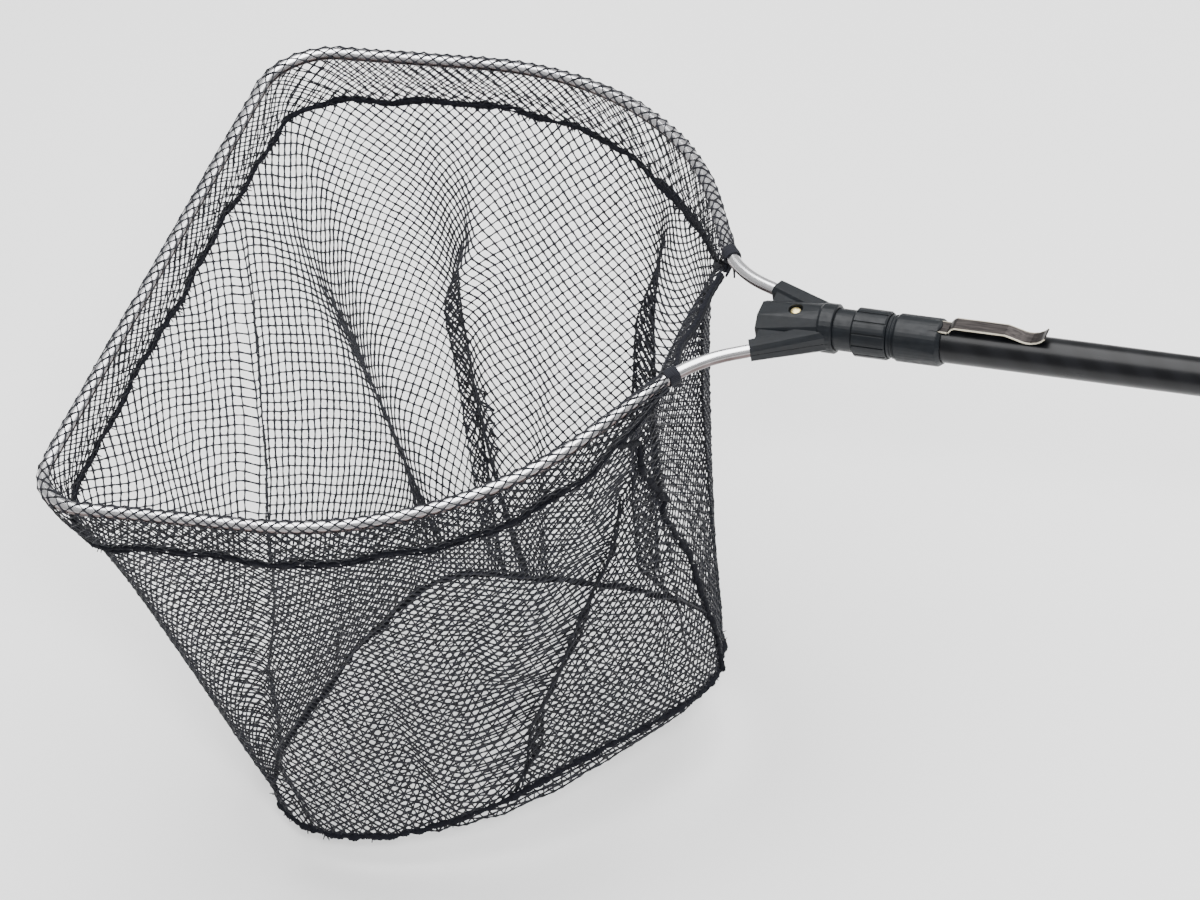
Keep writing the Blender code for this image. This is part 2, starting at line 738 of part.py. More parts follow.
def make_base(parts, paint):
    """The base panel: rings that close in from the base seam and sag in the middle."""
    shape = bmesh.new()
    steps, rings = 16, 5
    span = distances(0, RIM_HALF, steps) + distances(-RIM_HALF, 0, steps)[1:-1]
    centre = POLE @ BASE_CENTRE
    below = Vector((0, 0, 0.001))
    edge = [base(distance, inset=0.0026) - below for distance in span]
    rows = [[shape.verts.new(point) for point in edge]]
    edge = [p - Vector((0, 0, base_hang(d) + 0.0015)) for p, d in zip(edge, span)]
    for ring in range(rings):
        reach = 1 - ring / rings
        drop = Vector((0, 0, BASE_SAG * (1 - reach**2)))
        rows.append([shape.verts.new(centre.lerp(point, reach) - drop) for point in edge])
    for outer, inner in zip(rows, rows[1:]):
        for k in range(len(outer)):
            j = (k + 1) % len(outer)
            shape.faces.new((outer[k], outer[j], inner[j], inner[k]))
    shape.faces.new(rows[-1])
    panel = from_bmesh("net_base", shape, parts, paint)
    shell = panel.modifiers.new("Thickness", "SOLIDIFY")
    shell.thickness = NET
    shell.offset = 0


def make_seams(parts, paint):
    """The sewn cords: round the bag under the hoop, round the base, and down the side join."""
    clear = NET / 2 + SEAM_CORD + 0.0012
    end = BINDING_AT - 0.012
    path = [wall(distance, 0, clear) for distance in distances(-end, end, 60)]
    bar("rim_seam", path, SEAM_CORD, parts, paint)
    span = distances(0, RIM_HALF, 20) + distances(-RIM_HALF, 0, 20)[1:-1]
    below = Vector((0, 0, 0.0010))
    loop = [base(distance, inset=-clear) - below for distance in span]
    bar("base_seam", loop, SEAM_CORD, parts, paint, closed=True)
    join = []
    for k in range(13):
        share = 0.03 + 0.93 * k / 12
        swing = BINDING_AT - 0.045 + (RIM_HALF - BINDING_AT + 0.045) * share**1.4
        join.append(wall(-swing, share, clear + 0.0025))
    bar("side_seam", join, SEAM_CORD, parts, paint)
    inside = -NET / 2 - 0.0012
    patch = distances(BINDING_AT - 0.155, BINDING_AT - 0.090, 6)
    rows = [[wall(distance, share, inside) for distance in patch] for share in (0.002, 0.020)]
    sheet("seam_patch", rows, parts, paint, 0.0007)


def make_bindings(parts, paint):
    """The tape that edges the mouth between the arms, and the whipping round each arm."""
    reach = MOUTH_HALF - 0.0100
    rows = [[], []]
    for k in range(9):
        y = reach * (1 - k / 4)
        drop = 0.0045 + mouth_sag(y)
        for row, lift in zip(rows, (0.0035, -0.0035)):
            row.append(HEAD @ Vector((BINDING_X - 0.004 - mouth_bow(y), y, lift - drop)))
    sheet("mouth_tape", rows, parts, paint, 0.0012)
    point, heading = station(HALVES[-1], BINDING_AT)
    ring = [(0.0045, 0.0068), (-0.0045, 0.0068), (-0.0045, 0.00485), (0.0045, 0.00485)]
    for name, side in (("binding_far", 1), ("binding_near", -1)):
        turn = Matrix.Rotation(math.atan2(side * heading.y, heading.x), 4, "Z")
        frame = HEAD @ Matrix.Translation((point.x, side * point.y, 0)) @ turn
        turned(name, ring, parts, paint, 24, frame)


# ---------------------------------------------------------------- build
def build():
    empty_scene()
    parts, cutters = collection("landing_net"), collection("cutters")
    plastic = material("black_plastic", (0.045, 0.052, 0.060), 0.45)
    paints = {
        "plastic": plastic,
        "tube": material("glossy_black_tube", (0.020, 0.022, 0.025), 0.22),
        "inner": material("satin_inner_tube", (0.10, 0.10, 0.11), 0.35, 0.6),
        "foam": material("foam_grip", (0.03, 0.03, 0.032), 0.85),
        "rubber": material("rubber_cap", (0.025, 0.025, 0.025), 0.70),
    }
    netting = material("black_netting", (0.020, 0.021, 0.026), 0.75)
    cord = material("black_cord", (0.014, 0.015, 0.020), 0.80)
    make_hoop(parts, material("aluminium_tube", (0.84, 0.84, 0.86), 0.22, 1.0))
    make_yoke(parts, cutters, plastic)
    make_rivet(parts, material("brass", (0.86, 0.74, 0.38), 0.28, 1.0))
    make_stem(parts, cutters, material("zinc_plated_steel", (0.62, 0.62, 0.60), 0.35, 1.0))
    make_collar(parts, cutters, plastic)
    make_washer(parts, material("nylon_washer", (0.80, 0.79, 0.74), 0.55))
    make_ferrule(parts, cutters, plastic)
    make_clip(parts, material("spring_steel", (0.42, 0.38, 0.32), 0.38, 1.0))
    make_handle(parts, cutters, paints)
    make_walls(parts, netting)
    make_base(parts, netting)
    make_seams(parts, cord)
    make_bindings(parts, cord)


build()
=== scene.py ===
"""Landing net: the looks. The netting, seams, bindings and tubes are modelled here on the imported
frame, and every CAD piece that stays gets a procedural material.

Metres, in the frame's axes: the pole lies along X, the head is towards -X and +Z is up.
"""

import json
import math
import random

import bpy
import numpy as np
from mathutils import Matrix, Vector


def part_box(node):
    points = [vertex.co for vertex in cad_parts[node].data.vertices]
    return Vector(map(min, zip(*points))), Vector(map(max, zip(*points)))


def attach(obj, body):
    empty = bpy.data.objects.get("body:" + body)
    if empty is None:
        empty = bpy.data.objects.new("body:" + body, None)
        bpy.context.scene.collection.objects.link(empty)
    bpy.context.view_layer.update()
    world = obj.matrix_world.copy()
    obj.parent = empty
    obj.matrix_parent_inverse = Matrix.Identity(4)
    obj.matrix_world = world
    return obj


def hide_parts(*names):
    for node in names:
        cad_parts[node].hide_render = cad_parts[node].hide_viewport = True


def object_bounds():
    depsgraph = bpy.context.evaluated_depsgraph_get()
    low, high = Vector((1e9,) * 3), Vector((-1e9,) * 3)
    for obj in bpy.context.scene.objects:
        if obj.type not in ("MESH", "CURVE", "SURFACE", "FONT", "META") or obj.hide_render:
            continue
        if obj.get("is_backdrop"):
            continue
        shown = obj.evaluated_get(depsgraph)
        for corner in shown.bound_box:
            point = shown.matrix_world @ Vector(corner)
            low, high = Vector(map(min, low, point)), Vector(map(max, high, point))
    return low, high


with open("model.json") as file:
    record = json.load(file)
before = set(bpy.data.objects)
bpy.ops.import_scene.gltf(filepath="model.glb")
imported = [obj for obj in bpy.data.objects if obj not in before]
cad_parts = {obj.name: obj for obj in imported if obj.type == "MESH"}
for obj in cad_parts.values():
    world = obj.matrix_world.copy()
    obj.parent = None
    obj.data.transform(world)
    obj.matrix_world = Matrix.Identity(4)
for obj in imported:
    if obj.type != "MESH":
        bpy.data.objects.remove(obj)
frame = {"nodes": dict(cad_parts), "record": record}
CAD_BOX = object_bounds()
HEAD_BODY, HANDLE_BODY = "pole", "handle"

# ---------------------------------------------------------------- dimensions
# The hoop, as in the CAD. YOKE_X is the origin of the head's own coordinates.
WASHER_FROM_YOKE = 0.0287
YOKE_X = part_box("thrust_washer")[0][0] - WASHER_FROM_YOKE
HOOP_TUBE = 0.00425
HOOP_FRONT, HALF_WIDTH, CORNER_RADIUS = -0.441, 0.236, 0.041
SHOULDER_START, SHOULDER_RADIUS, SHOULDER_TURN = -0.281, 0.214, math.radians(61.5)
ARM_STRAIGHT, FAR_EASE = 0.062, 0.014
NECK_RADIUS, NECK_TURN = 0.080, math.radians(37.5)
TAIL_STRAIGHT = 0.034
HEAD_DROOP = math.radians(3.4)
CLIP_WIDTH, TUBE_WALL = 0.0110, 0.0012

# The bag's rim seam: how far it hangs and lies inside the hoop, and where it is slackest.
BINDING_X, BINDING_DROP = -0.058, 0.0088
SEAM_DROP, SEAM_INSET = 0.033, 0.004
CORNER_DROP, CORNER_INSET = 0.008, 0.010
NEAR_CORNER, FAR_CORNER, CORNER_SPREAD = -0.232, 0.220, 0.045
FAR_SLACK, FAR_SLACK_AT, FAR_SLACK_SPREAD = 0.014, 0.555, 0.095
FAR_INSET = 0.006
CLIMB_NEAR, CLIMB_FAR = 0.075, 0.045
MOUTH_BOW, MOUTH_SAG = 0.010, 0.010
WRAP_SHORT, ROPE_SHORT = 0.006, 0.002  # the wrap and the seam's ropes end before the bindings

# The seam round the bag's base: points it runs through, far side and near side, front to rear.
BASE_FRONT = (-0.358, -0.022, -0.361)
BASE_FAR = [
    (-0.336, 0.042, -0.352),
    (-0.310, 0.080, -0.348),
    (-0.262, 0.088, -0.346),
    (-0.203, 0.092, -0.346),
    (-0.160, 0.089, -0.345),
    (-0.112, 0.070, -0.341),
]
BASE_NEAR = [
    (-0.373, -0.092, -0.370),
    (-0.352, -0.136, -0.375),
    (-0.307, -0.152, -0.374),
    (-0.240, -0.142, -0.366),
    (-0.182, -0.118, -0.352),
    (-0.128, -0.078, -0.332),
    (-0.096, -0.034, -0.327),
]
BASE_REAR = (-0.088, 0.014, -0.332)
BASE_CENTRE = np.array((-0.235, -0.025, -0.360))
BASE_SAG = 0.010
BASE_HANG, HANG_AT, HANG_SPREAD = 0.014, -0.52, 0.15

# The wall between the two seams is drawn in by its waist, and more at the rear.
WAIST, BACK_WAIST, BACK_LENGTH = 0.006, 0.010, 0.040
WALL_ROWS, WRAP_ROWS = 82, 24  # half meshes down the wall, and round the doubled edge

# Netting: the bar is one side of a mesh, and the mesh hangs on its corner.
BAR = 0.006
DIAGONAL = BAR * math.sqrt(2)
MESH_WIDTH = 0.0096
TWINE_WIDTH, TWINE_DEPTH = 0.00088, 0.00090
WRAP_TWINE = 0.8  # the twine over the hoop is drawn thinner by this
KNOT_SWELL, BAR_SWELL = 1.30, 0.80
KNOT_DRIFT, BAR_BOW = 0.00018, 0.00012

HEAD = np.array(Matrix.Translation((YOKE_X, 0, 0)) @ Matrix.Rotation(-HEAD_DROOP, 4, "Y"))
ORIGIN = np.array((YOKE_X, 0.0, 0.0))
BAG_MIDDLE = BASE_CENTRE + ORIGIN + (0, 0, 0.17)


# ---------------------------------------------------------------- materials
class Look:
    """A Principled material with short helpers for procedural detail."""

    def __init__(self, name, roughness, metallic=0.0, **sockets):
        self.material = bpy.data.materials.new(name)
        self.material.use_nodes = True
        self.tree = self.material.node_tree
        self.shader = self.tree.nodes["Principled BSDF"]
        self.shader.inputs["Roughness"].default_value = roughness
        self.shader.inputs["Metallic"].default_value = metallic
        for socket, value in sockets.items():
            self.shader.inputs[socket.replace("_", " ")].default_value = value
        self.place = self.tree.nodes.new("ShaderNodeTexCoord").outputs["Object"]

    def link(self, output, target):
        self.tree.links.new(output, target)

    def stretched(self, scale):
        """The piece's coordinates scaled along each axis, for grain that runs one way."""
        mapping = self.tree.nodes.new("ShaderNodeMapping")
        mapping.inputs["Scale"].default_value = scale
        self.link(self.place, mapping.inputs["Vector"])
        return mapping.outputs["Vector"]

    def noise(self, scale, detail=3.0, vector=None, roughness=0.55):
        made = self.tree.nodes.new("ShaderNodeTexNoise")
        made.inputs["Scale"].default_value = scale
        made.inputs["Detail"].default_value = detail
        made.inputs["Roughness"].default_value = roughness
        self.link(vector or self.place, made.inputs["Vector"])
        return made.outputs["Fac"]

    def wave(self, scale, vector=None, distortion=0.0):
        """Bands that run diagonally."""
        made = self.tree.nodes.new("ShaderNodeTexWave")
        made.bands_direction = "DIAGONAL"
        made.inputs["Scale"].default_value = scale
        made.inputs["Distortion"].default_value = distortion
        self.link(vector or self.place, made.inputs["Vector"])
        return made.outputs["Fac"]

    def tones(self, factor, dark, light, start=0.3, end=0.7):
        """A factor mapped to the colours between two."""
        made = self.tree.nodes.new("ShaderNodeValToRGB")
        ends = made.color_ramp.elements
        for stop, place, colour in zip(ends, (start, end), (dark, light)):
            stop.position = place
            stop.color = (*colour, 1)
        self.link(factor, made.inputs["Fac"])
        return made.outputs["Color"]

    def span(self, factor, low, high, start=0.3, end=0.7):
        """A factor mapped to a range of plain values."""
        made = self.tree.nodes.new("ShaderNodeMapRange")
        for socket, value in zip(made.inputs[1:5], (start, end, low, high)):
            socket.default_value = value
        self.link(factor, made.inputs["Value"])
        return made.outputs["Result"]

    def mix(self, factor, first, second):
        made = self.tree.nodes.new("ShaderNodeMix")
        made.data_type = "RGBA"
        self.link(factor, made.inputs[0])
        self.link(first, made.inputs[6])
        self.link(second, made.inputs[7])
        return made.outputs[2]

    def colour(self, output):
        self.link(output, self.shader.inputs["Base Color"])

    def rough(self, output):
        self.link(output, self.shader.inputs["Roughness"])

    def relief(self, height, distance, strength, rounded=None):
        """Bump from a height, over edges rounded by a small radius if one is given."""
        bump = self.tree.nodes.new("ShaderNodeBump")
        bump.inputs["Strength"].default_value = strength
        bump.inputs["Distance"].default_value = distance
        self.link(height, bump.inputs["Height"])
        if rounded:
            bevel = self.tree.nodes.new("ShaderNodeBevel")
            bevel.samples = 4
            bevel.inputs["Radius"].default_value = rounded
            self.link(bevel.outputs["Normal"], bump.inputs["Normal"])
        self.link(bump.outputs["Normal"], self.shader.inputs["Normal"])


def moulded_plastic():
    """Blue-black, with paler scuffs and a fine moulded grain."""
    look = Look("moulded_plastic", 0.44, Specular_IOR_Level=0.26)
    tint = (0.0042, 0.0056, 0.0076)
    body = look.tones(look.noise(120, 2), tuple(0.7 * c for c in tint), tint)
    scuff = look.span(look.noise(900, 5), 0, 0.35, 0.58, 0.8)
    look.colour(look.mix(scuff, body, look.tones(scuff, tint, (0.022, 0.025, 0.029), 0, 1)))
    look.rough(look.span(look.noise(260, 3), 0.34, 0.52))
    look.relief(look.noise(2600, 2), 0.00006, 0.6, rounded=0.0006)
    return look.material


def bright_aluminium():
    """Drawn tube: bright above, with painted shade on its underside, where the colour turns a dull
    brown as the surface faces down.
    """
    look = Look("bright_aluminium", 0.2, 1.0)
    facing = look.tree.nodes.new("ShaderNodeSeparateXYZ")
    geometry = look.tree.nodes.new("ShaderNodeNewGeometry")
    look.link(geometry.outputs["Normal"], facing.inputs["Vector"])
    # Painted shade: surfaces facing down get the dark brown tones, surfaces facing up the bright
    # ones.
    painted_underside_shade = look.span(facing.outputs["Z"], 0, 1, 0.10, 0.62)
    tone = look.noise(60, 3)
    below = look.tones(tone, (0.085, 0.065, 0.062), (0.15, 0.12, 0.12))
    above = look.tones(tone, (0.86, 0.85, 0.88), (0.96, 0.96, 0.98))
    look.colour(look.mix(painted_underside_shade, below, above))
    look.rough(look.span(look.noise(220, 3), 0.20, 0.27))
    return look.material


def brass():
    look = Look("brass", 0.32, 1.0)
    look.colour(look.tones(look.noise(400, 3), (0.66, 0.53, 0.22), (0.84, 0.72, 0.38)))
    look.rough(look.span(look.noise(900, 3), 0.28, 0.42))
    look.relief(look.noise(3000, 2), 0.00004, 0.5, rounded=0.0005)
    return look.material


def spring_steel():
    """Browned strip, with a painted highlight along its two long edges, and streaked lengthwise.
    """
    look = Look("spring_steel", 0.38, 1.0)
    streak = look.noise(60, 4, look.stretched((1, 14, 14)))
    brown = look.tones(streak, (0.028, 0.025, 0.025), (0.075, 0.067, 0.064))
    bright = look.tones(streak, (0.40, 0.36, 0.28), (0.62, 0.58, 0.48))
    place = look.tree.nodes.new("ShaderNodeSeparateXYZ")
    look.link(look.place, place.inputs["Vector"])
    off_centre = look.tree.nodes.new("ShaderNodeMath")
    off_centre.operation = "ABSOLUTE"
    look.link(place.outputs["Y"], off_centre.inputs[0])
    edge = CLIP_WIDTH / 2
    # Painted highlight: the colour turns pale within about a millimetre of each long edge.
    painted_edge_highlight = look.span(off_centre.outputs[0], 0, 1, edge - 0.0009, edge - 0.0003)
    look.colour(look.mix(painted_edge_highlight, brown, bright))
    look.rough(look.span(streak, 0.30, 0.48))
    look.relief(look.noise(1200, 3, look.stretched((0.2, 1, 1))), 0.00005, 0.7, rounded=0.0003)
    return look.material


def plated_steel():
    look = Look("plated_steel", 0.3, 1.0)
    look.colour(look.tones(look.noise(200, 3), (0.50, 0.51, 0.50), (0.70, 0.71, 0.70)))
    look.rough(look.span(look.noise(700, 3), 0.24, 0.4))
    look.relief(look.noise(2500, 2), 0.00003, 0.5, rounded=0.0004)
    return look.material


def nylon():
    look = Look("nylon", 0.5, Subsurface_Weight=0.1)
    look.colour(look.tones(look.noise(150, 2), (0.62, 0.60, 0.54), (0.72, 0.70, 0.65)))
    look.relief(look.noise(1800, 2), 0.00004, 0.5, rounded=0.0003)
    return look.material


def lacquered_pole():
    """Black lacquer over glass fibre: the cloth wrap's faint spiral shows under a clear coat."""
    look = Look("lacquered_pole", 0.30, Specular_IOR_Level=0.25)
    wrap = look.wave(26, look.stretched((1, 0.6, 0.6)), 0.4)
    dust = look.noise(700, 5)
    tone = look.tones(wrap, (0.0030, 0.0032, 0.0040), (0.0055, 0.0058, 0.0070), 0.2, 0.8)
    specks = look.tones(dust, (0.004, 0.004, 0.005), (0.022, 0.023, 0.025), 0.6, 0.85)
    look.colour(look.mix(look.span(dust, 0, 0.3, 0.6, 0.8), tone, specks))
    look.rough(look.span(look.noise(240, 3, look.stretched((0.15, 1, 1))), 0.27, 0.33))
    look.relief(wrap, 0.00005, 0.25)
    return look.material


def ground_fibre():
    """The inner section: the same fibre with a satin, lengthwise ground finish."""
    look = Look("ground_fibre", 0.38)
    grain = look.noise(240, 4, look.stretched((0.08, 1, 1)))
    look.colour(look.tones(grain, (0.018, 0.019, 0.021), (0.042, 0.043, 0.046)))
    look.rough(look.span(grain, 0.3, 0.46))
    look.relief(grain, 0.00004, 0.6)
    return look.material


def foam():
    """Closed-cell foam: fine round pores and a soft, dusty sheen."""
    look = Look("foam", 0.92, Specular_IOR_Level=0.2, Sheen_Weight=0.04, Sheen_Roughness=0.5)
    pores = look.noise(1500, 4, roughness=0.7)
    look.colour(look.tones(pores, (0.005, 0.005, 0.006), (0.018, 0.018, 0.019), 0.35))
    look.relief(pores, 0.0003, 0.8, rounded=0.0008)
    return look.material


def cap_rubber():
    look = Look("cap_rubber", 0.7)
    stain = look.noise(220, 4)
    look.colour(look.tones(stain, (0.012, 0.012, 0.012), (0.04, 0.04, 0.04), end=0.75))
    look.rough(look.span(look.noise(400, 3), 0.6, 0.8))
    look.relief(look.noise(1900, 3), 0.0001, 0.6, rounded=0.0010)
    return look.material


def twine():
    """Black knotless twine: a slight blue cast, and the lay of its fibres as a fine ripple."""
    look = Look("twine", 0.62, Specular_IOR_Level=0.3)
    tone = look.noise(300, 3)
    look.colour(look.tones(tone, (0.003, 0.0035, 0.005), (0.012, 0.013, 0.020), end=0.75))
    look.rough(look.span(look.noise(700, 2), 0.5, 0.75))
    look.relief(look.noise(3500, 3), 0.00012, 0.6)
    return look.material


def cord():
    """Doubled, whip-stitched cord: coarse turns across it and loose fibre over them."""
    look = Look("cord", 0.9, Specular_IOR_Level=0.2)
    turns = look.noise(900, 4, roughness=0.7)
    look.colour(look.tones(turns, (0.002, 0.002, 0.003), (0.011, 0.012, 0.018), end=0.75))
    look.relief(turns, 0.0005, 0.9)
    return look.material


def tape():
    """Woven tape: a fine plain weave from two crossed waves."""
    look = Look("tape", 0.85, Specular_IOR_Level=0.25)
    weft = look.wave(420)
    warp = look.wave(420, look.stretched((-1, 1, 1)))
    weave = look.mix(look.noise(300, 2), weft, warp)
    look.colour(look.tones(weave, (0.003, 0.003, 0.004), (0.014, 0.015, 0.022), 0.2, 0.8))
    look.relief(weave, 0.0002, 0.7)
    return look.material


def pale_floor():
    look = Look("pale_floor", 0.9)
    look.colour(look.tones(look.noise(2, 2), (0.86, 0.86, 0.86), (0.88, 0.88, 0.88)))
    return look.material


# ---------------------------------------------------------------- making pieces
def piece(name, vertices, faces, paint, slot, body=HEAD_BODY, smooth=False):
    """A mesh object with one material, riding on a body."""
    data = bpy.data.meshes.new(name)
    data.from_pydata(vertices.tolist(), [], [tuple(int(k) for k in face) for face in faces])
    data.polygons.foreach_set("use_smooth", [smooth] * len(data.polygons))
    data.materials.append(paint)
    data.update()
    obj = bpy.data.objects.new(name, data)
    bpy.context.scene.collection.objects.link(obj)
    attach(obj, body)
    return obj


def unit(vectors):
    return vectors / np.maximum(np.linalg.norm(vectors, axis=-1, keepdims=True), 1e-9)


def ring_angles(sides):
    return 2 * math.pi * np.arange(sides) / sides


def ring_faces(rings, sides, looped=False):
    """The quads that join each ring of points to the next, and the last to the first if looped."""
    faces = []
    for i in range(rings if looped else rings - 1):
        ring, after = i * sides, (i + 1) % rings * sides
        for k in range(sides):
            j = (k + 1) % sides
            faces.append((ring + k, ring + j, after + j, after + k))
    return faces


def swept(path, radii, sides, flatten=1.0):
    """Vertices and faces of a capped rope along a path. Its radius is one number, or one at each
    point, or one at each point for each of its sides."""
    path = np.asarray(path, float)
    count = len(path)
    ahead = np.roll(path, -1, 0) - np.roll(path, 1, 0)
    ahead[0], ahead[-1] = path[1] - path[0], path[-1] - path[-2]
    ahead = unit(ahead)
    side = unit(np.cross(ahead, (0, 0, 1.0)))
    over = np.cross(side, ahead)
    turn = ring_angles(sides)
    if np.ndim(radii) < 2:
        radii = np.repeat(np.broadcast_to(radii, (count,))[:, None], sides, 1)
    ring = side[:, None] * (radii * np.cos(turn) * flatten)[..., None]
    ring = ring + over[:, None] * (radii * np.sin(turn))[..., None]
    vertices = (path[:, None] + ring).reshape(-1, 3)
    faces = [(a, d, c, b) for a, b, c, d in ring_faces(count, sides)]
    faces.append(tuple(range(sides)))
    faces.append(tuple(reversed(range((count - 1) * sides, count * sides))))
    return vertices, faces


def joined(parts):
    """Several (vertices, faces) pairs as one."""
    vertices, faces, start = [], [], 0
    for points, polygons in parts:
        vertices.append(points)
        faces += [tuple(start + k for k in polygon) for polygon in polygons]
        start += len(points)
    return np.vstack(vertices), faces


# ---------------------------------------------------------------- outlines
def hoop_half(eased=0.0):
    """Half of the hoop's centreline in its own plane, from the front bar's middle to the yoke.
    Its shoulder starts earlier and bends more gently by the length eased."""
    path, heading = [np.array((HOOP_FRONT, 0.0))], math.pi / 2

    def forward(distance):
        path.append(path[-1] + distance * np.array((math.cos(heading), math.sin(heading))))

    def bend(radius, turn, steps):
        nonlocal heading
        for _ in range(steps):
            heading += turn / steps / 2
            forward(2 * radius * math.sin(abs(turn) / steps / 2))
            heading += turn / steps / 2

    forward(HALF_WIDTH - CORNER_RADIUS)
    bend(CORNER_RADIUS, -math.pi / 2, 18)
    forward(SHOULDER_START - eased - path[-1][0])
    bend(SHOULDER_RADIUS + eased / math.tan(SHOULDER_TURN / 2), -SHOULDER_TURN, 24)
    forward(ARM_STRAIGHT - eased)
    bend(NECK_RADIUS, NECK_TURN, 14)
    forward(TAIL_STRAIGHT)
    return np.array(path)


def travel(path):
    """The distance along a path at each of its points."""
    steps = np.linalg.norm(np.diff(path, axis=0), axis=1)
    return np.concatenate(([0], np.cumsum(steps)))


def along(path, distances):
    """Points of a path at these distances along it."""
    travelled = travel(path)
    return np.stack([np.interp(distances, travelled, column) for column in path.T], 1)


def smooth_run(corners, steps=12):
    """A smooth line through points: Catmull-Rom, with the first and last as handles."""
    corners = [np.array(corner) for corner in corners]
    path = []
    for a, b, c, d in zip(corners, corners[1:], corners[2:], corners[3:]):
        for k in range(steps):
            t = k / steps
            curve = (2 * a - 5 * b + 4 * c - d) * t**2 + (3 * b - a - 3 * c + d) * t**3
            path.append(b + ((c - a) * t + curve) / 2)
    return np.array(path + [corners[-2]])


FAR_HALF, NEAR_HALF = hoop_half(FAR_EASE), hoop_half()


def binding_distance(path):
    """How far along the hoop its arm crosses the bindings' line."""
    travelled = travel(path)
    arm = len(path) // 2
    return float(np.interp(BINDING_X, path[arm:, 0], travelled[arm:]))


BINDING_FAR, BINDING_AT = binding_distance(FAR_HALF), binding_distance(NEAR_HALF)
MOUTH_HALF = float(along(NEAR_HALF, [BINDING_AT])[0][1])
RIM_HALF = BINDING_AT + MOUTH_HALF
FAR_BASE = smooth_run([BASE_NEAR[1], BASE_FRONT, *BASE_FAR, BASE_REAR, BASE_NEAR[-1]])
NEAR_BASE = smooth_run([BASE_FAR[0], BASE_FRONT, *BASE_NEAR, BASE_REAR, BASE_FAR[-1]])


def mouth_bow(y):
    """How far forward the free edge of the net between the arms bows."""
    return MOUTH_BOW * (1 - np.minimum(np.abs(y) / MOUTH_HALF, 1) ** 2)


def rim(distances):
    """Points of the bag's rim in the hoop's plane and the outward directions there. Distances
    run from the front bar's middle, positive on the far (+Y) side."""
    distances = np.asarray(distances, float)
    away = np.minimum(np.abs(distances), BINDING_AT)
    side = np.where(distances >= 0, 1.0, -1.0)
    far = along(FAR_HALF, away * BINDING_FAR / BINDING_AT)
    near = along(NEAR_HALF, away)
    flat = np.where(side[:, None] > 0, far, near)
    step = 0.0015
    before = np.maximum(away - step, 0)
    far_step = along(FAR_HALF, (away + step) * BINDING_FAR / BINDING_AT)
    far_step = far_step - along(FAR_HALF, before * BINDING_FAR / BINDING_AT)
    near_step = along(NEAR_HALF, away + step) - along(NEAR_HALF, before)
    heading = unit(np.where(side[:, None] > 0, far_step, near_step))
    outward = np.stack([-heading[:, 1], heading[:, 0]], 1)
    past = np.abs(distances) > BINDING_AT
    y = MOUTH_HALF - (np.abs(distances) - BINDING_AT)
    mouth = np.stack([BINDING_X - mouth_bow(y), y], 1)
    flat = np.where(past[:, None], mouth, flat)
    outward = np.where(past[:, None], (1.0, 0.0), outward)
    mirror = np.stack([np.ones(len(side)), side], 1)
    return flat * mirror, outward * mirror


def on_head(flat, height):
    """Points of the hoop's plane, raised by a height, in the frame's axes."""
    local = np.column_stack([flat, np.broadcast_to(height, len(flat)), np.ones(len(flat))])
    return (local @ HEAD.T)[:, :3]


def bell(value, centre, width):
    """1 at the centre, falling to nothing over about twice the width."""
    return np.exp(-(((value - centre) / width) ** 2))


def ease(value, start, end):
    """0 before start, 1 after end and a smooth rise between them."""
    place = np.clip((value - start) / (end - start), 0, 1)
    return place * place * (3 - 2 * place)


def base_hang(distances):
    """How far the base panel hangs below its seam before it turns in."""
    return BASE_HANG * bell(distances, HANG_AT, HANG_SPREAD)


def base_loop(distances):
    """The base seam at the places that hang below these distances along the rim."""
    distances = np.asarray(distances, float)
    share = np.minimum(np.abs(distances) / RIM_HALF, 1)
    far = along(FAR_BASE, share * travel(FAR_BASE)[-1])
    near = along(NEAR_BASE, share * travel(NEAR_BASE)[-1])
    loop = np.where((distances >= 0)[:, None], far, near) + ORIGIN
    loop[:, 2] += base_hang(distances)
    return loop


def slack_corners(distances):
    """1 where the seam is slackest: at the near front corner, and less so at the far one."""
    near = bell(distances, NEAR_CORNER, CORNER_SPREAD)
    return near + 0.35 * bell(distances, FAR_CORNER, CORNER_SPREAD)


def seam_drop(distances):
    """How far the rim seam hangs below the hoop: slacker at the two front corners and round the
    far shoulder, with a slight wander, and rising to the bindings. Across the mouth it is the
    free edge's sag."""
    distances = np.asarray(distances, float)
    left = BINDING_AT - np.abs(distances)
    wander = 0.0016 * np.sin(distances * 47 + 1) + 0.0012 * np.sin(distances * 113)
    slack = FAR_SLACK * bell(distances, FAR_SLACK_AT, FAR_SLACK_SPREAD)
    deep = SEAM_DROP + wander + CORNER_DROP * slack_corners(distances) + slack
    climb = np.clip(left / np.where(distances > 0, CLIMB_FAR, CLIMB_NEAR), 0, 1)
    drop = BINDING_DROP + (deep - BINDING_DROP) * climb
    across = np.clip(-left / MOUTH_HALF, 0, 1)
    return np.where(left < 0, BINDING_DROP + MOUTH_SAG * (1 - (1 - across) ** 2), drop)


def seam_inset(distances):
    """How far the rim seam lies inside the hoop's centreline."""
    far = bell(distances, FAR_SLACK_AT, FAR_SLACK_SPREAD)
    return SEAM_INSET + CORNER_INSET * slack_corners(distances) + FAR_INSET * far


def seam(distances):
    """The line where the doubled band under the hoop is sewn to the bag's wall."""
    flat, outward = rim(distances)
    inset = seam_inset(np.asarray(distances, float))[:, None]
    return on_head(flat - outward * inset, -seam_drop(distances))


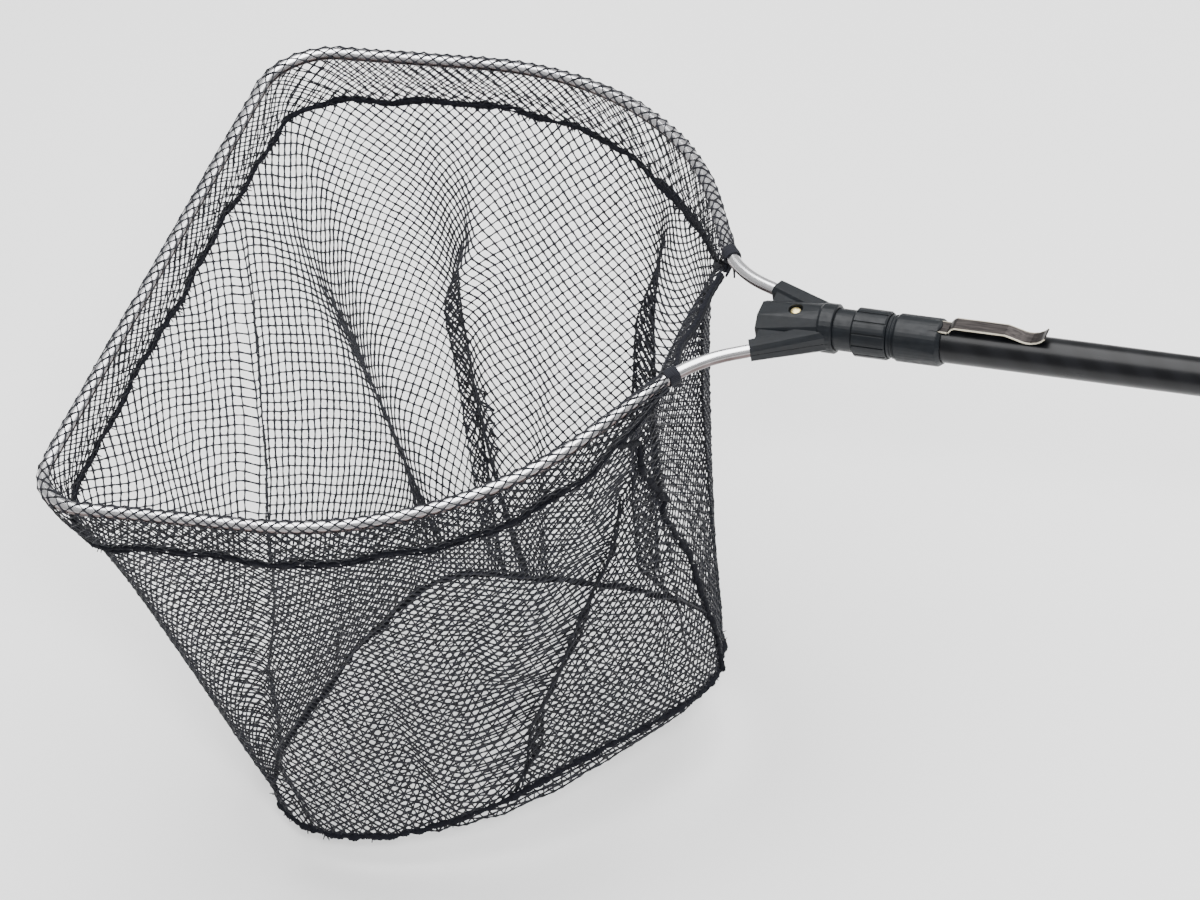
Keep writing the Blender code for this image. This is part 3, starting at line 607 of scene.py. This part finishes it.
# ---------------------------------------------------------------- the netting's own surface
# Each fold: the points (share of the way down, distance along the rim) that it runs through, its
# depth, its width, and how far it leans over its neighbour.
FAR_FOLDS = [
    (
        [(0.17, 0.357), (0.28, 0.366), (0.50, 0.330), (0.70, 0.316), (1.00, 0.305)],
        0.015, 0.015, 0.004,
    ),
    ([(0.12, 0.560), (0.30, 0.560), (0.55, 0.575), (0.90, 0.600)], 0.012, 0.028, 0.046),
    ([(0.55, 0.430), (1.00, 0.418)], 0.006, 0.012, 0.0),
    (
        [(0.03, 0.088), (0.12, 0.045), (0.22, -0.008), (0.41, -0.092), (0.66, -0.150)],
        0.011, 0.012, 0.004,
    ),
]  # fmt: skip
NEAR_FOLDS = [
    ([(0.30, -0.330), (0.83, -0.250)], 0.010, 0.015, 0.0),
    (
        [(0.13, -0.650), (0.26, -0.605), (0.54, -0.535), (0.81, -0.465), (1.0, -0.440)],
        0.012, 0.020, 0.036,
    ),
    ([(0.25, -0.490), (0.80, -0.470)], 0.010, 0.016, 0.0),
    ([(0.40, -0.400), (1.00, -0.380)], 0.008, 0.014, 0.0),
]  # fmt: skip
SMALL_FOLDS = 30
# A fold starts this far above its first point, deepens over its settling length, and flattens out
# over the last tenth above the base.
FOLD_LEAD, FOLD_SETTLE, SMALL_SETTLE = 0.12, 0.35, 0.8
FOLD_END, FOLD_CLOSE = 1.02, 0.10


def fold_lines():
    """The photographed folds, and smaller ones between them that grow towards the base."""
    chance = random.Random(41)
    lines = [(*fold, FOLD_SETTLE) for fold in FAR_FOLDS + NEAR_FOLDS]
    for k in range(SMALL_FOLDS):
        start = -RIM_HALF + (k + chance.random()) * 2 * RIM_HALF / SMALL_FOLDS
        top = 0.30 + 0.35 * chance.random()
        drift = chance.uniform(-0.03, 0.03)
        depth = chance.uniform(0.0015, 0.0045) * chance.choice((1, 1, -0.6))
        width = chance.uniform(0.007, 0.012)
        lines.append(([(top, start), (1.0, start + drift)], depth, width, 0.0, SMALL_SETTLE))
    return lines


FOLDS = fold_lines()


def skew(distances):
    """How much further round the base a mesh is sewn than the point it hangs from: the net is
    drawn towards the far front corner."""
    return (
        0.088 * bell(distances, 0.10, 0.17)
        - 0.058 * bell(distances, 0.46, 0.12)
        + 0.030 * bell(distances, -0.25, 0.12)
    )


def drawn_in(distances, share):
    """Where the wall's slack pulls it away from the straight line between its two seams. Each
    bell is a pull at one place along the rim: high ones are strongest at mid height, and low
    ones pull one way above it and the other way below."""
    high = np.sin(np.pi * share**0.8)
    low = np.sin(2 * np.pi * share**0.8)
    front = ease(distances, -0.236, -0.13) * (1 - ease(distances, 0.09, 0.22))
    x = (0.042 * front - 0.018 * bell(distances, 0.36, 0.04)) * high
    x += (0.012 * bell(distances, 0.50, 0.06)) * high
    x += (0.008 * bell(distances, 0.36, 0.03) + 0.006 * bell(distances, 0.20, 0.04)) * low
    x -= 0.010 * ease(distances, -0.15, -0.08) * (1 - ease(distances, 0.08, 0.15)) * low
    y = (0.020 * bell(distances, 0.285, 0.05) - 0.018 * bell(distances, 0.16, 0.045)) * high
    y -= 0.026 * bell(distances, 0.435, 0.06) * high
    y += (0.006 * bell(distances, 0.03, 0.12) - 0.009 * bell(distances, 0.26, 0.06)) * low
    return np.column_stack([x, y, np.zeros(len(x))])


def hanging(distances, share):
    """One level of the bag's wall: share 0 at the rim seam and 1 at the base seam. The waist draws
    it in wherever drawn_in doesn't shape it, and the folds go on last."""
    top, bottom = seam(distances), base_loop(distances + skew(distances))
    flat, outward = rim(distances)
    away = np.column_stack([outward, np.zeros(len(outward))])
    back = np.clip((np.abs(distances) - BINDING_AT) / BACK_LENGTH + 1, 0, 1)
    loose = 1 - ease(distances, -0.22, -0.16) * (1 - ease(distances, 0.50, 0.58))
    belly = math.sin(math.pi * share**0.45) * loose
    level = top + (bottom - top) * share - away * ((WAIST + BACK_WAIST * back) * belly)[:, None]
    level += drawn_in(distances, share)
    heading = unit(np.gradient(level, axis=0))
    inward = np.column_stack([-heading[:, 1], heading[:, 0], np.zeros(len(heading))])
    inward *= np.where((inward * -away).sum(1) < 0, -1, 1)[:, None]
    for line, depth, width, lean, settle in FOLDS:
        places, centres = zip(*line)
        if share < places[0] - FOLD_LEAD:
            continue
        centre = float(np.interp(share, places, centres))
        grown = min((share - places[0] + FOLD_LEAD) / settle, 1)
        grown *= min((FOLD_END - share) / FOLD_CLOSE, 1)
        crest = (grown * bell(distances, centre, width))[:, None]
        level += inward * depth * crest - heading * lean * crest
    return level


def mesh_width(distances):
    """The width of a mesh along the rim: opened on the front bar and its far corner, and
    gathered on the near side's shoulder."""
    front = ease(distances, -0.26, -0.20) * (1 - ease(distances, 0.16, 0.26))
    opened = 0.0014 * front + 0.0012 * bell(distances, 0.20, 0.05)
    gathered = 0.0019 * bell(distances, -0.36, 0.09) + 0.0010 * bell(distances, 0.33, 0.08)
    return MESH_WIDTH + opened - gathered


def rim_places():
    """Distances along the rim of every half mesh: an even number of them, closing the loop."""
    fine = np.linspace(-RIM_HALF, RIM_HALF, 3001)
    counted = np.concatenate(([0], np.cumsum(np.diff(fine) * 2 / mesh_width(fine[1:]))))
    halves = 2 * round(counted[-1] / 2)
    return np.interp(np.arange(halves + 1), counted * halves / counted[-1], fine)


PLACES = rim_places()


def strands(grid, normals, width, depth, keep, seed):
    """Knotless netting over a grid of points whose rows and columns are half a mesh apart:
    every strand is an open-ended bar, thicker where it runs into the next ones. Only the points
    in keep are used, where it is given."""
    rows, columns = grid.shape[:2]
    chance = np.random.default_rng(seed)
    grid = grid + chance.normal(0, KNOT_DRIFT, grid.shape)
    k, n = np.meshgrid(np.arange(rows - 1), np.arange(columns), indexing="ij")
    ends = []
    for turn in (1, -1):
        used = ((k + n) % 2 == 0) & (n + turn >= 0) & (n + turn < columns)
        if keep is not None:
            used &= keep[:-1] & keep[1:][:, np.clip(np.arange(columns) + turn, 0, columns - 1)]
        a = (k[used], n[used])
        b = (k[used] + 1, n[used] + turn)
        ends.append((grid[a], grid[b], normals[a], normals[b]))
    first, last, first_up, last_up = (np.concatenate(column) for column in zip(*ends))
    ahead = unit(last - first)
    up = unit(first_up + last_up)
    side = unit(np.cross(ahead, up))
    up = np.cross(side, ahead)
    count = len(first)
    size = 1 + 0.10 * chance.standard_normal(count).clip(-2, 2)
    overlap = 0.30 * width
    bow = up * (BAR_BOW * chance.standard_normal(count))[:, None]
    rings = []
    for place, swell, reach, bowed in (
        (0.0, KNOT_SWELL, -overlap, 0),
        (0.5, BAR_SWELL, 0.0, bow),
        (1.0, KNOT_SWELL, overlap, 0),
    ):
        middle = first + (last - first) * place + ahead * reach + bowed
        w, h = size * swell * width / 2, size * swell * depth / 2
        for across, over in ((1, 1), (-1, 1), (-1, -1), (1, -1)):
            rings.append(middle + side * (across * w)[:, None] + up * (over * h)[:, None])
    vertices = np.stack(rings, 1).reshape(-1, 3)
    sides = [(ring + corner, ring + (corner + 1) % 4) for ring in (0, 4) for corner in range(4)]
    pattern = np.array([(a, b, b + 4, a + 4) for a, b in sides])
    faces = (np.arange(count)[:, None, None] * 12 + pattern[None]).reshape(-1, 4)
    return vertices, faces


def grid_normals(grid, toward):
    """Unit normals of a grid of points, on the side away from a point."""
    normal = unit(np.cross(np.gradient(grid, axis=1), np.gradient(grid, axis=0)))
    flip = ((grid - toward) * normal).sum(-1) < 0
    normal[flip] *= -1
    return normal


def netting(
    name, grid, normals, paint, seed,
    replaced=(), keep=None, drawn=1.0,
):  # fmt: skip
    """A sheet of netting; the CAD panels it replaces are hidden."""
    bars = strands(grid, normals, TWINE_WIDTH * drawn, TWINE_DEPTH * drawn, keep, seed)
    obj = piece(name, *bars, paint, "netting", smooth=True)
    if replaced:
        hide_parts(*replaced)


def wall_grid():
    """Every half mesh of the wall. Rows open towards the base, as the meshes narrow there."""
    steps = np.linspace(1.0, 1.3, WALL_ROWS)
    shares = np.concatenate(([0], np.cumsum(steps) / steps.sum()))
    grid = np.stack([hanging(PLACES, float(share)) for share in shares])
    return grid, grid_normals(grid, BAG_MIDDLE)


# Each panel: its name, where it starts and ends as a share of the way round, and the CAD panels
# it stands for.
PANELS = [
    ("netting_near_rear", 0.000, 0.190, ("net_wall_near_rear", "net_wall_back")),
    ("netting_near", 0.190, 0.335, ("net_wall_near",)),
    ("netting_front_near", 0.335, 0.500, ("net_wall_front",)),
    ("netting_front_far", 0.500, 0.665, ("net_wall_front",)),
    ("netting_far", 0.665, 0.810, ("net_wall_far",)),
    ("netting_far_rear", 0.810, 1.000, ("net_wall_far_rear",)),
]


def make_walls(paint, grid, normals):
    """The wall in its panels, each cut from the one grid."""
    for number, (name, start, end, nodes) in enumerate(PANELS):
        a, b = (2 * round(share * (len(PLACES) - 1) / 2) for share in (start, end))
        cut, cut_normals = grid[:, a : b + 1], normals[:, a : b + 1]
        netting(name, cut, cut_normals, paint, number, nodes)


def make_base(paint):
    """The flat panel sewn in at the bottom: the same netting, cut to the base seam's outline."""
    places = np.linspace(-RIM_HALF, RIM_HALF, 721)[:-1]
    around, hang = base_loop(places), base_hang(places)
    middle = BASE_CENTRE + ORIGIN
    angles = np.arctan2(around[:, 1] - middle[1], around[:, 0] - middle[0])
    order = np.argsort(angles)
    angles, around, hang = angles[order], around[order], hang[order]
    reach = np.hypot(*(around - middle)[:, :2].T)
    half = DIAGONAL / 2
    spans = [np.ptp(around[:, axis]) for axis in (0, 1)]
    counts = [2 * int(span / 2 / half) + 3 for span in spans]
    steps = [(np.arange(count) - count // 2) * half for count in counts]
    centres = [(around[:, axis].max() + around[:, axis].min()) / 2 for axis in (0, 1)]
    x, y = np.meshgrid(steps[0] + centres[0], steps[1] + centres[1], indexing="ij")
    dx, dy = x - middle[0], y - middle[1]
    angle, distance = np.arctan2(dy, dx), np.hypot(dx, dy)
    edge = np.interp(angle, angles, reach, period=2 * math.pi)
    rim_height = np.interp(angle, angles, around[:, 2], period=2 * math.pi)
    share = distance / edge
    inside = share < 1.0
    share = np.minimum(share, 1.0)
    # From the seam the panel first hangs straight down, and then closes in.
    hang = np.interp(angle, angles, hang, period=2 * math.pi)
    turn = 1 - hang / edge
    spread = np.where(share > turn, 1 / np.maximum(share, 0.01), 1 / turn)
    x, y = middle[0] + dx * spread, middle[1] + dy * spread
    fallen = np.clip((1 - share) / np.maximum(1 - turn, 1e-6), 0, 1)
    low = np.minimum(share / turn, 1)
    z = middle[2] + (rim_height - hang - middle[2]) * low**2 - BASE_SAG * (1 - low**2)
    z = z + hang * (1 - fallen)
    # A slight unevenness that dies out at the seam.
    z = z + 0.0012 * np.sin(x * 61 + 0.5) * np.sin(y * 83) * (1 - share**4)
    grid = np.stack([x, y, z], -1)
    normals = np.broadcast_to((0.0, 0.0, -1.0), grid.shape).copy()
    netting(
        "netting_base", grid, normals, paint, 21, ("net_base",),
        keep=inside,
    )  # fmt: skip


def make_wrap(paint):
    """The doubled edge of the net: from the rim seam up the outside, over the hoop's tube and
    down the inside to the seam again."""
    distances = PLACES[np.abs(PLACES) < BINDING_AT - WRAP_SHORT]
    columns, rows = len(distances) - 1, WRAP_ROWS
    flat, outward = rim(distances)
    drop = seam_drop(distances) - 0.001
    inset = seam_inset(distances)
    gap, fullness = 0.0007, 0.0022
    grip = HOOP_TUBE + TWINE_DEPTH / 2 + 0.0001
    grid = np.zeros((rows + 1, columns + 1, 3))
    facing = np.zeros_like(grid)
    leg = np.hypot(drop, grip)
    arc = math.pi * grip
    for row in range(rows + 1):
        place = row / rows * (2 * leg + arc)
        down_out = np.clip(place / leg, 0, 1)
        over = np.clip((place - leg) / arc, 0, 1)
        down_in = np.clip((place - leg - arc) / leg, 0, 1)
        turn = math.pi * over
        across = grip * np.cos(turn)
        height = grip * np.sin(turn)
        bulge = fullness * np.sin(math.pi * down_out) - fullness * np.sin(math.pi * down_in)
        low_out, low_in = 1 - down_out, down_in
        across = across + low_out * (-inset + gap - grip) + low_in * (-inset - gap + grip)
        across = across + np.where(over <= 0, bulge, 0) + np.where(over >= 1, bulge, 0)
        height = height - drop * (low_out + low_in)
        grid[row] = on_head(flat + outward * across[:, None], height)
        facing[row, :, :2] = outward * np.cos(turn)[:, None]
        facing[row, :, 2] = np.sin(turn)
    facing = facing @ HEAD[:3, :3].T
    netting(
        "netting_hoop_wrap", grid, facing, paint, 31,
        drawn=WRAP_TWINE,
    )  # fmt: skip


# ---------------------------------------------------------------- seams, cords and bindings
ROPE_STEP, STITCHES = 0.0009, 110  # stitches in a metre


def rope(path, radius, seed, lumpy=0.35, sides=9):
    """A gathered seam: a soft rope whose thickness and course wander, with stitches round it."""
    chance = np.random.default_rng(seed)
    travelled = travel(path)
    count = int(travelled[-1] / ROPE_STEP)
    path = along(path, np.linspace(0, travelled[-1], count))

    def wandering(every):
        knots = np.arange(0, count + every, every)
        return np.interp(np.arange(count), knots, chance.standard_normal(len(knots)))

    path = path + np.stack([wandering(9) for _ in range(3)], 1) * radius * 0.30
    swell = 1 + lumpy * (0.5 * wandering(4) + 0.35 * wandering(11))
    turn = ring_angles(sides)
    phase = np.arange(count)[:, None] * ROPE_STEP * 2 * math.pi * STITCHES
    lay = 1 + 0.16 * np.sin(2 * turn[None] + phase) + 0.10 * chance.standard_normal((count, sides))
    radii = radius * np.clip(swell, 0.55, 1.7)[:, None] * np.clip(lay, 0.6, 1.5)
    return swept(path, radii, sides)


def tufts(path, drop, count, seed, longest):
    """Cut ends of twine and loops that stick out of a seam: downwards, or all ways as drop falls
    from 1 to 0."""
    chance = np.random.default_rng(seed)
    travelled = travel(path)
    parts = []
    for start in np.sort(chance.uniform(0, travelled[-1], count)):
        root = along(path, [start])[0]
        lean = unit(np.array((*chance.normal(0, 0.55, 2), -1.0)) * (1, 1, drop))
        length = chance.uniform(0.002, longest)
        curl = chance.normal(0, 0.0009, 3)
        steps = np.linspace(0, 1, 5)[:, None]
        line = root + lean * steps * length + curl * steps**2 * 1.4
        parts.append(swept(line, 0.0005 * np.array((1.2, 1.05, 1.0, 0.9, 0.6)), 4))
    return joined(parts)


# The seam that closes the wall into a bag: share of the way down, distance along the rim.
SIDE_SEAM = [
    (0.00, -0.632), (0.09, -0.641), (0.39, -0.674), (0.63, -0.719), (0.91, -0.739), (1.0, -0.740),
]  # fmt: skip


def side_line(grid):
    """The points of the wall's grid that the side seam runs through."""
    line = []
    for row, share in zip(grid, np.linspace(0, 1, len(grid))):
        distance = np.interp(share, *zip(*SIDE_SEAM))
        column = np.interp(distance, PLACES, np.arange(len(PLACES)))
        low = int(min(column, len(row) - 2))
        line.append(row[low] + (row[low + 1] - row[low]) * (column - low))
    line = np.array(line)[1:]
    return line + unit(line - BAG_MIDDLE) * (0.0012, 0.0012, 0)


def make_seams(paint, grid):
    """The three gathered seams: a rope each, with tufts, and a thinner rope under the rim's."""
    around = np.linspace(-RIM_HALF, RIM_HALF, 1500)
    rim_line = seam(around)[np.abs(around) < BINDING_AT - ROPE_SHORT]
    outside = unit(rim_line - BASE_CENTRE - ORIGIN) * (0.0008, 0.0008, 0)
    second = rim_line + np.array((0, 0, -0.0026)) + outside
    base_line = base_loop(np.linspace(-RIM_HALF, RIM_HALF, 1400))
    side = side_line(grid)
    rim_parts = [rope(rim_line, 0.0017, 3), tufts(rim_line, 1.0, 800, 4, longest=0.005)]
    rim_parts.append(rope(second, 0.0009, 5, lumpy=0.6, sides=7))
    base_parts = [rope(base_line, 0.0021, 7), tufts(base_line, 0.2, 420, 8, longest=0.0032)]
    side_parts = [rope(side, 0.0020, 9, sides=8), tufts(side, 0.7, 70, 10, longest=0.004)]
    for where, parts in (("rim", rim_parts), ("base", base_parts), ("side", side_parts)):
        obj = piece(where + "_gather", *joined(parts), paint, "cord", smooth=True)
        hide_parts(where + "_seam")


def make_patch(paint):
    """A short smooth ribbon folded over the seam of the far rear side."""
    low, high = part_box("seam_patch")
    distances = np.linspace(0.500, 0.590, 60)
    line = seam(distances)
    inside = (line[:, 0] >= low.x - 0.004) & (line[:, 0] <= high.x + 0.004) & (line[:, 1] > 0)
    line = line[inside] + (0, 0, 0.0045)
    fullness = np.sin(np.linspace(0, math.pi, len(line))) ** 0.35
    sides = 14
    turn = ring_angles(sides)
    profile = 0.0034 * np.sqrt(np.cos(turn) ** 2 * 0.18 + np.sin(turn) ** 2)
    radii = profile[None] * (0.35 + 0.65 * fullness[:, None])
    obj = piece("seam_ribbon", *swept(line, radii, sides), paint, "cord", smooth=True)
    obj.modifiers.new("Rounded", "SUBSURF").render_levels = 1
    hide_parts("seam_patch")


def make_mouth_edge(paint):
    """The bound edge across the bag's rear: a folded tape that sags between the hoop's arms."""
    low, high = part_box("mouth_tape")
    places = np.linspace(-1, 1, 90)
    y = places * (high.y - low.y) / 2
    start = np.array(on_head(np.array([(BINDING_X, 0.0)]), -0.0075))[0]
    sag = 0.0085 * (1 - places**2) + 0.0010 * np.sin(places * 7 + 1)
    x = start[0] - mouth_bow(y) + 0.0012 * np.sin(places * 5)
    line = np.column_stack([x, y, start[2] - sag])
    sides = 12
    turn = ring_angles(sides)
    profile = 0.0036 * np.sqrt(np.cos(turn) ** 2 * 0.12 + np.sin(turn) ** 2)
    wrinkle = 1 + 0.10 * np.sin(places * 60)[:, None] * np.sin(turn * 2 + 1)[None]
    band = swept(line, profile[None] * wrinkle, sides)
    obj = piece("mouth_binding", *band, paint, "cord", smooth=True)
    obj.modifiers.new("Rounded", "SUBSURF").render_levels = 1
    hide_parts("mouth_tape")


def seam_strap(root):
    """The end of the far strip, pulled down and forward to the rim seam that it holds up."""
    tie = seam([BINDING_FAR - CLIMB_FAR - 0.004])[0]
    share = np.linspace(0, 1, 16)[:, None]
    bowed = np.array((-0.004, -0.004, -0.002)) * np.sin(math.pi * share)
    return swept(root + (tie - root) * share + bowed, 0.0026, 10, flatten=0.4)


def strip_tails(root, side):
    """The two ends of a strip, hanging where it is tied off."""
    down = np.linspace(0, 1, 9)[:, None]
    for lean in (-0.35, 0.30):
        line = root + down * np.array((lean * 0.009, -0.004 * side, -0.009))
        line = line + down**2 * np.array((0.0, -0.003 * side, 0.0015))
        yield swept(line, np.linspace(0.0019, 0.0012, 9), 8, flatten=0.5)


def make_bindings(paint):
    """Strips of tape wound round the hoop's arms, holding the bag's two rear corners."""
    for node, side in (("binding_far", 1), ("binding_near", -1)):
        half = FAR_HALF if side > 0 else NEAR_HALF
        at = BINDING_FAR if side > 0 else BINDING_AT
        turns, count = 2.3, 69
        advance = np.linspace(-0.0020, 0.0020, count)
        centre = along(half, at + advance)
        heading = unit(along(half, at + advance + 0.002) - centre)
        outward = np.stack([-heading[:, 1], heading[:, 0]], 1)
        angle = 2 * math.pi * turns * np.linspace(0, 1, count) + 0.7
        reach = HOOP_TUBE + 0.0010 + 0.0002 * np.sin(angle * 1.7)
        flat = centre + outward * (reach * np.cos(angle))[:, None]
        path = on_head(flat * (1, side), reach * np.sin(angle))
        axis = np.column_stack([heading * (1, side), np.zeros(count)]) @ HEAD[:3, :3].T
        normal = unit(path - on_head(centre * (1, side), 0))
        half_width, half_thickness = 0.0029, 0.0006
        corners = []
        for across, out in ((-1, -1), (1, -1), (1, 0.4), (0.5, 1), (-0.5, 1), (-1, 0.4)):
            corners.append(path + axis * half_width * across + normal * half_thickness * out)
        vertices = np.stack(corners, 1).reshape(-1, 3)
        faces = ring_faces(count, 6)
        faces += [tuple(reversed(range(6))), tuple(range(count * 6 - 6, count * 6))]
        root = on_head(centre[[count // 2]] * (1, side), -HOOP_TUBE - 0.0012)[0]
        parts = [(vertices, faces), *strip_tails(root, side)]
        if side > 0:
            parts.append(seam_strap(root))
        obj = piece(node.replace("binding", "arm_tie"), *joined(parts), paint, "cord")
        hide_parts(node)


# ---------------------------------------------------------------- the hoop
def make_hoop(paint):
    """The hoop's tube, drawn round smoothly. Its ends run into the yoke as the CAD's do."""
    near = NEAR_HALF * (1, -1)
    line = on_head(np.vstack([near[::-1], FAR_HALF[1:]]), 0)
    line = along(line, np.linspace(0, travel(line)[-1], 900))
    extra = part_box("hoop_tube")[1].x - line[:, 0].max()
    for end, before in ((0, 1), (-1, -2)):
        ahead = unit(line[end] - line[before])
        line[end] = line[end] + ahead * max(extra - 0.001, 0)
    obj = piece("hoop_bar", *swept(line, HOOP_TUBE, 28), paint, "aluminium", smooth=True)
    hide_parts("hoop_tube")


def make_tubes(paints):
    """The pole's two sections, drawn round and with their cut ends eased."""
    sides, lip = 96, 0.0003
    turn = ring_angles(sides)
    for name, node, slot, body in (
        ("outer_section", "outer_tube", "pole_black", HEAD_BODY),
        ("inner_section", "inner_tube", "inner_pole", HANDLE_BODY),
    ):
        low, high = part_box(node)
        centre, radius = (low + high) / 2, (high.y - low.y) / 2
        bore, wall_lip = radius - TUBE_WALL, lip + radius - TUBE_WALL
        profile = [
            (low.x, wall_lip), (low.x, radius - lip), (low.x + lip, radius),
            (low.x + 3 * lip, radius), (high.x - 3 * lip, radius), (high.x - lip, radius),
            (high.x, radius - lip), (high.x, wall_lip), (high.x - lip, bore),
            (low.x + lip, bore),
        ]  # fmt: skip
        rings = [
            np.column_stack(
                [np.full(sides, x), centre.y + r * np.cos(turn), centre.z + r * np.sin(turn)]
            )
            for x, r in profile
        ]
        faces = ring_faces(len(profile), sides, looped=True)
        obj = piece(name, np.vstack(rings), faces, paints[slot], slot, body, smooth=True)
        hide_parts(node)


# ---------------------------------------------------------------- camera, floor and light
def make_camera():
    """A long lens from the head's near side, looking down at it, with the hoop's front bar to
    the left and the pole running out of the picture on the right."""
    azimuth, elevation, roll = math.radians(24.9), math.radians(40.6), math.radians(-9.0)
    distance, across, above = 5.11, -0.119, -0.0815
    level = math.cos(elevation)
    back = Vector((math.sin(azimuth) * level, -math.cos(azimuth) * level, math.sin(elevation)))
    right = Vector((math.cos(azimuth), math.sin(azimuth), 0))
    up = back.cross(right)
    turned_right = right * math.cos(roll) + up * math.sin(roll)
    turned_up = up * math.cos(roll) - right * math.sin(roll)
    data = bpy.data.cameras.new("camera")
    data.lens, data.sensor_width, data.clip_end = 240, 36, 50
    camera = bpy.data.objects.new("camera", data)
    turn = Matrix.Rotation(azimuth, 4, "Z") @ Matrix.Rotation(math.pi / 2 - elevation, 4, "X")
    turn = turn @ Matrix.Rotation(roll, 4, "Z")
    place = Vector((YOKE_X, 0, 0)) + turned_right * across + turned_up * above + back * distance
    camera.matrix_world = Matrix.Translation(place) @ turn
    bpy.context.scene.collection.objects.link(camera)
    bpy.context.scene.camera = camera


def make_floor(paint):
    """A plain floor a little below the bag."""
    data = bpy.data.meshes.new("floor")
    size, height = 9.0, -0.405
    corners = [(-size, -size), (size, -size), (size, size), (-size, size)]
    data.from_pydata([(x + YOKE_X, y, height) for x, y in corners], [], [(0, 1, 2, 3)])
    data.materials.append(paint)
    floor = bpy.data.objects.new("floor", data)
    bpy.context.scene.collection.objects.link(floor)
    floor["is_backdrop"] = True


def make_light():
    """An even white room, a front light that doesn't shine in the gloss, a broad one overhead and
    a weak one behind."""
    world = bpy.data.worlds.new("studio")
    world.use_nodes = True
    room = world.node_tree.nodes["Background"].inputs
    room["Color"].default_value = (1.0, 1.0, 1.0, 1)
    room["Strength"].default_value = 0.50
    bpy.context.scene.world = world
    for name, place, size, power, shines in (
        ("front", (0.9, -3.2, 3.4), 0.7, 200.0, False),
        ("overhead", (-0.95, 0.25, 2.3), 3.2, 200.0, True),
        ("rear", (0.3, 2.2, 1.4), 1.2, 16.0, True),
    ):
        data = bpy.data.lights.new(name, "AREA")
        data.shape, data.size, data.energy = "SQUARE", size, power
        light = bpy.data.objects.new(name, data)
        light.visible_glossy = shines
        aim = Vector((YOKE_X - 0.15, 0, -0.1)) - Vector(place)
        turn = aim.to_track_quat("-Z", "Y").to_matrix().to_4x4()
        light.matrix_world = Matrix.Translation(place) @ turn
        bpy.context.scene.collection.objects.link(light)


# ---------------------------------------------------------------- the whole net
make_camera()
make_floor(pale_floor())
make_light()

PAINTS = {
    "black_plastic": moulded_plastic(),
    "aluminium": bright_aluminium(),
    "brass": brass(),
    "plated_steel": plated_steel(),
    "spring_steel": spring_steel(),
    "nylon": nylon(),
    "pole_black": lacquered_pole(),
    "inner_pole": ground_fibre(),
    "foam": foam(),
    "cap_rubber": cap_rubber(),
    "netting": twine(),
    "cord": cord(),
}
for subpart in frame["record"]["subparts"]:
    node = frame["nodes"][subpart["node"]]
    for slot in node.material_slots:
        slot.material = PAINTS[subpart["material_slot"]]

wall, wall_normals = wall_grid()
make_hoop(PAINTS["aluminium"])
make_tubes(PAINTS)
make_seams(PAINTS["cord"], wall)
make_walls(PAINTS["netting"], wall, wall_normals)
make_base(PAINTS["netting"])
make_wrap(PAINTS["netting"])
make_patch(PAINTS["cord"])
make_mouth_edge(PAINTS["cord"])
make_bindings(tape())

boxes = {"cad": CAD_BOX, "visual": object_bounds()}
{k: [list(corner) for corner in box] for k, box in boxes.items()}
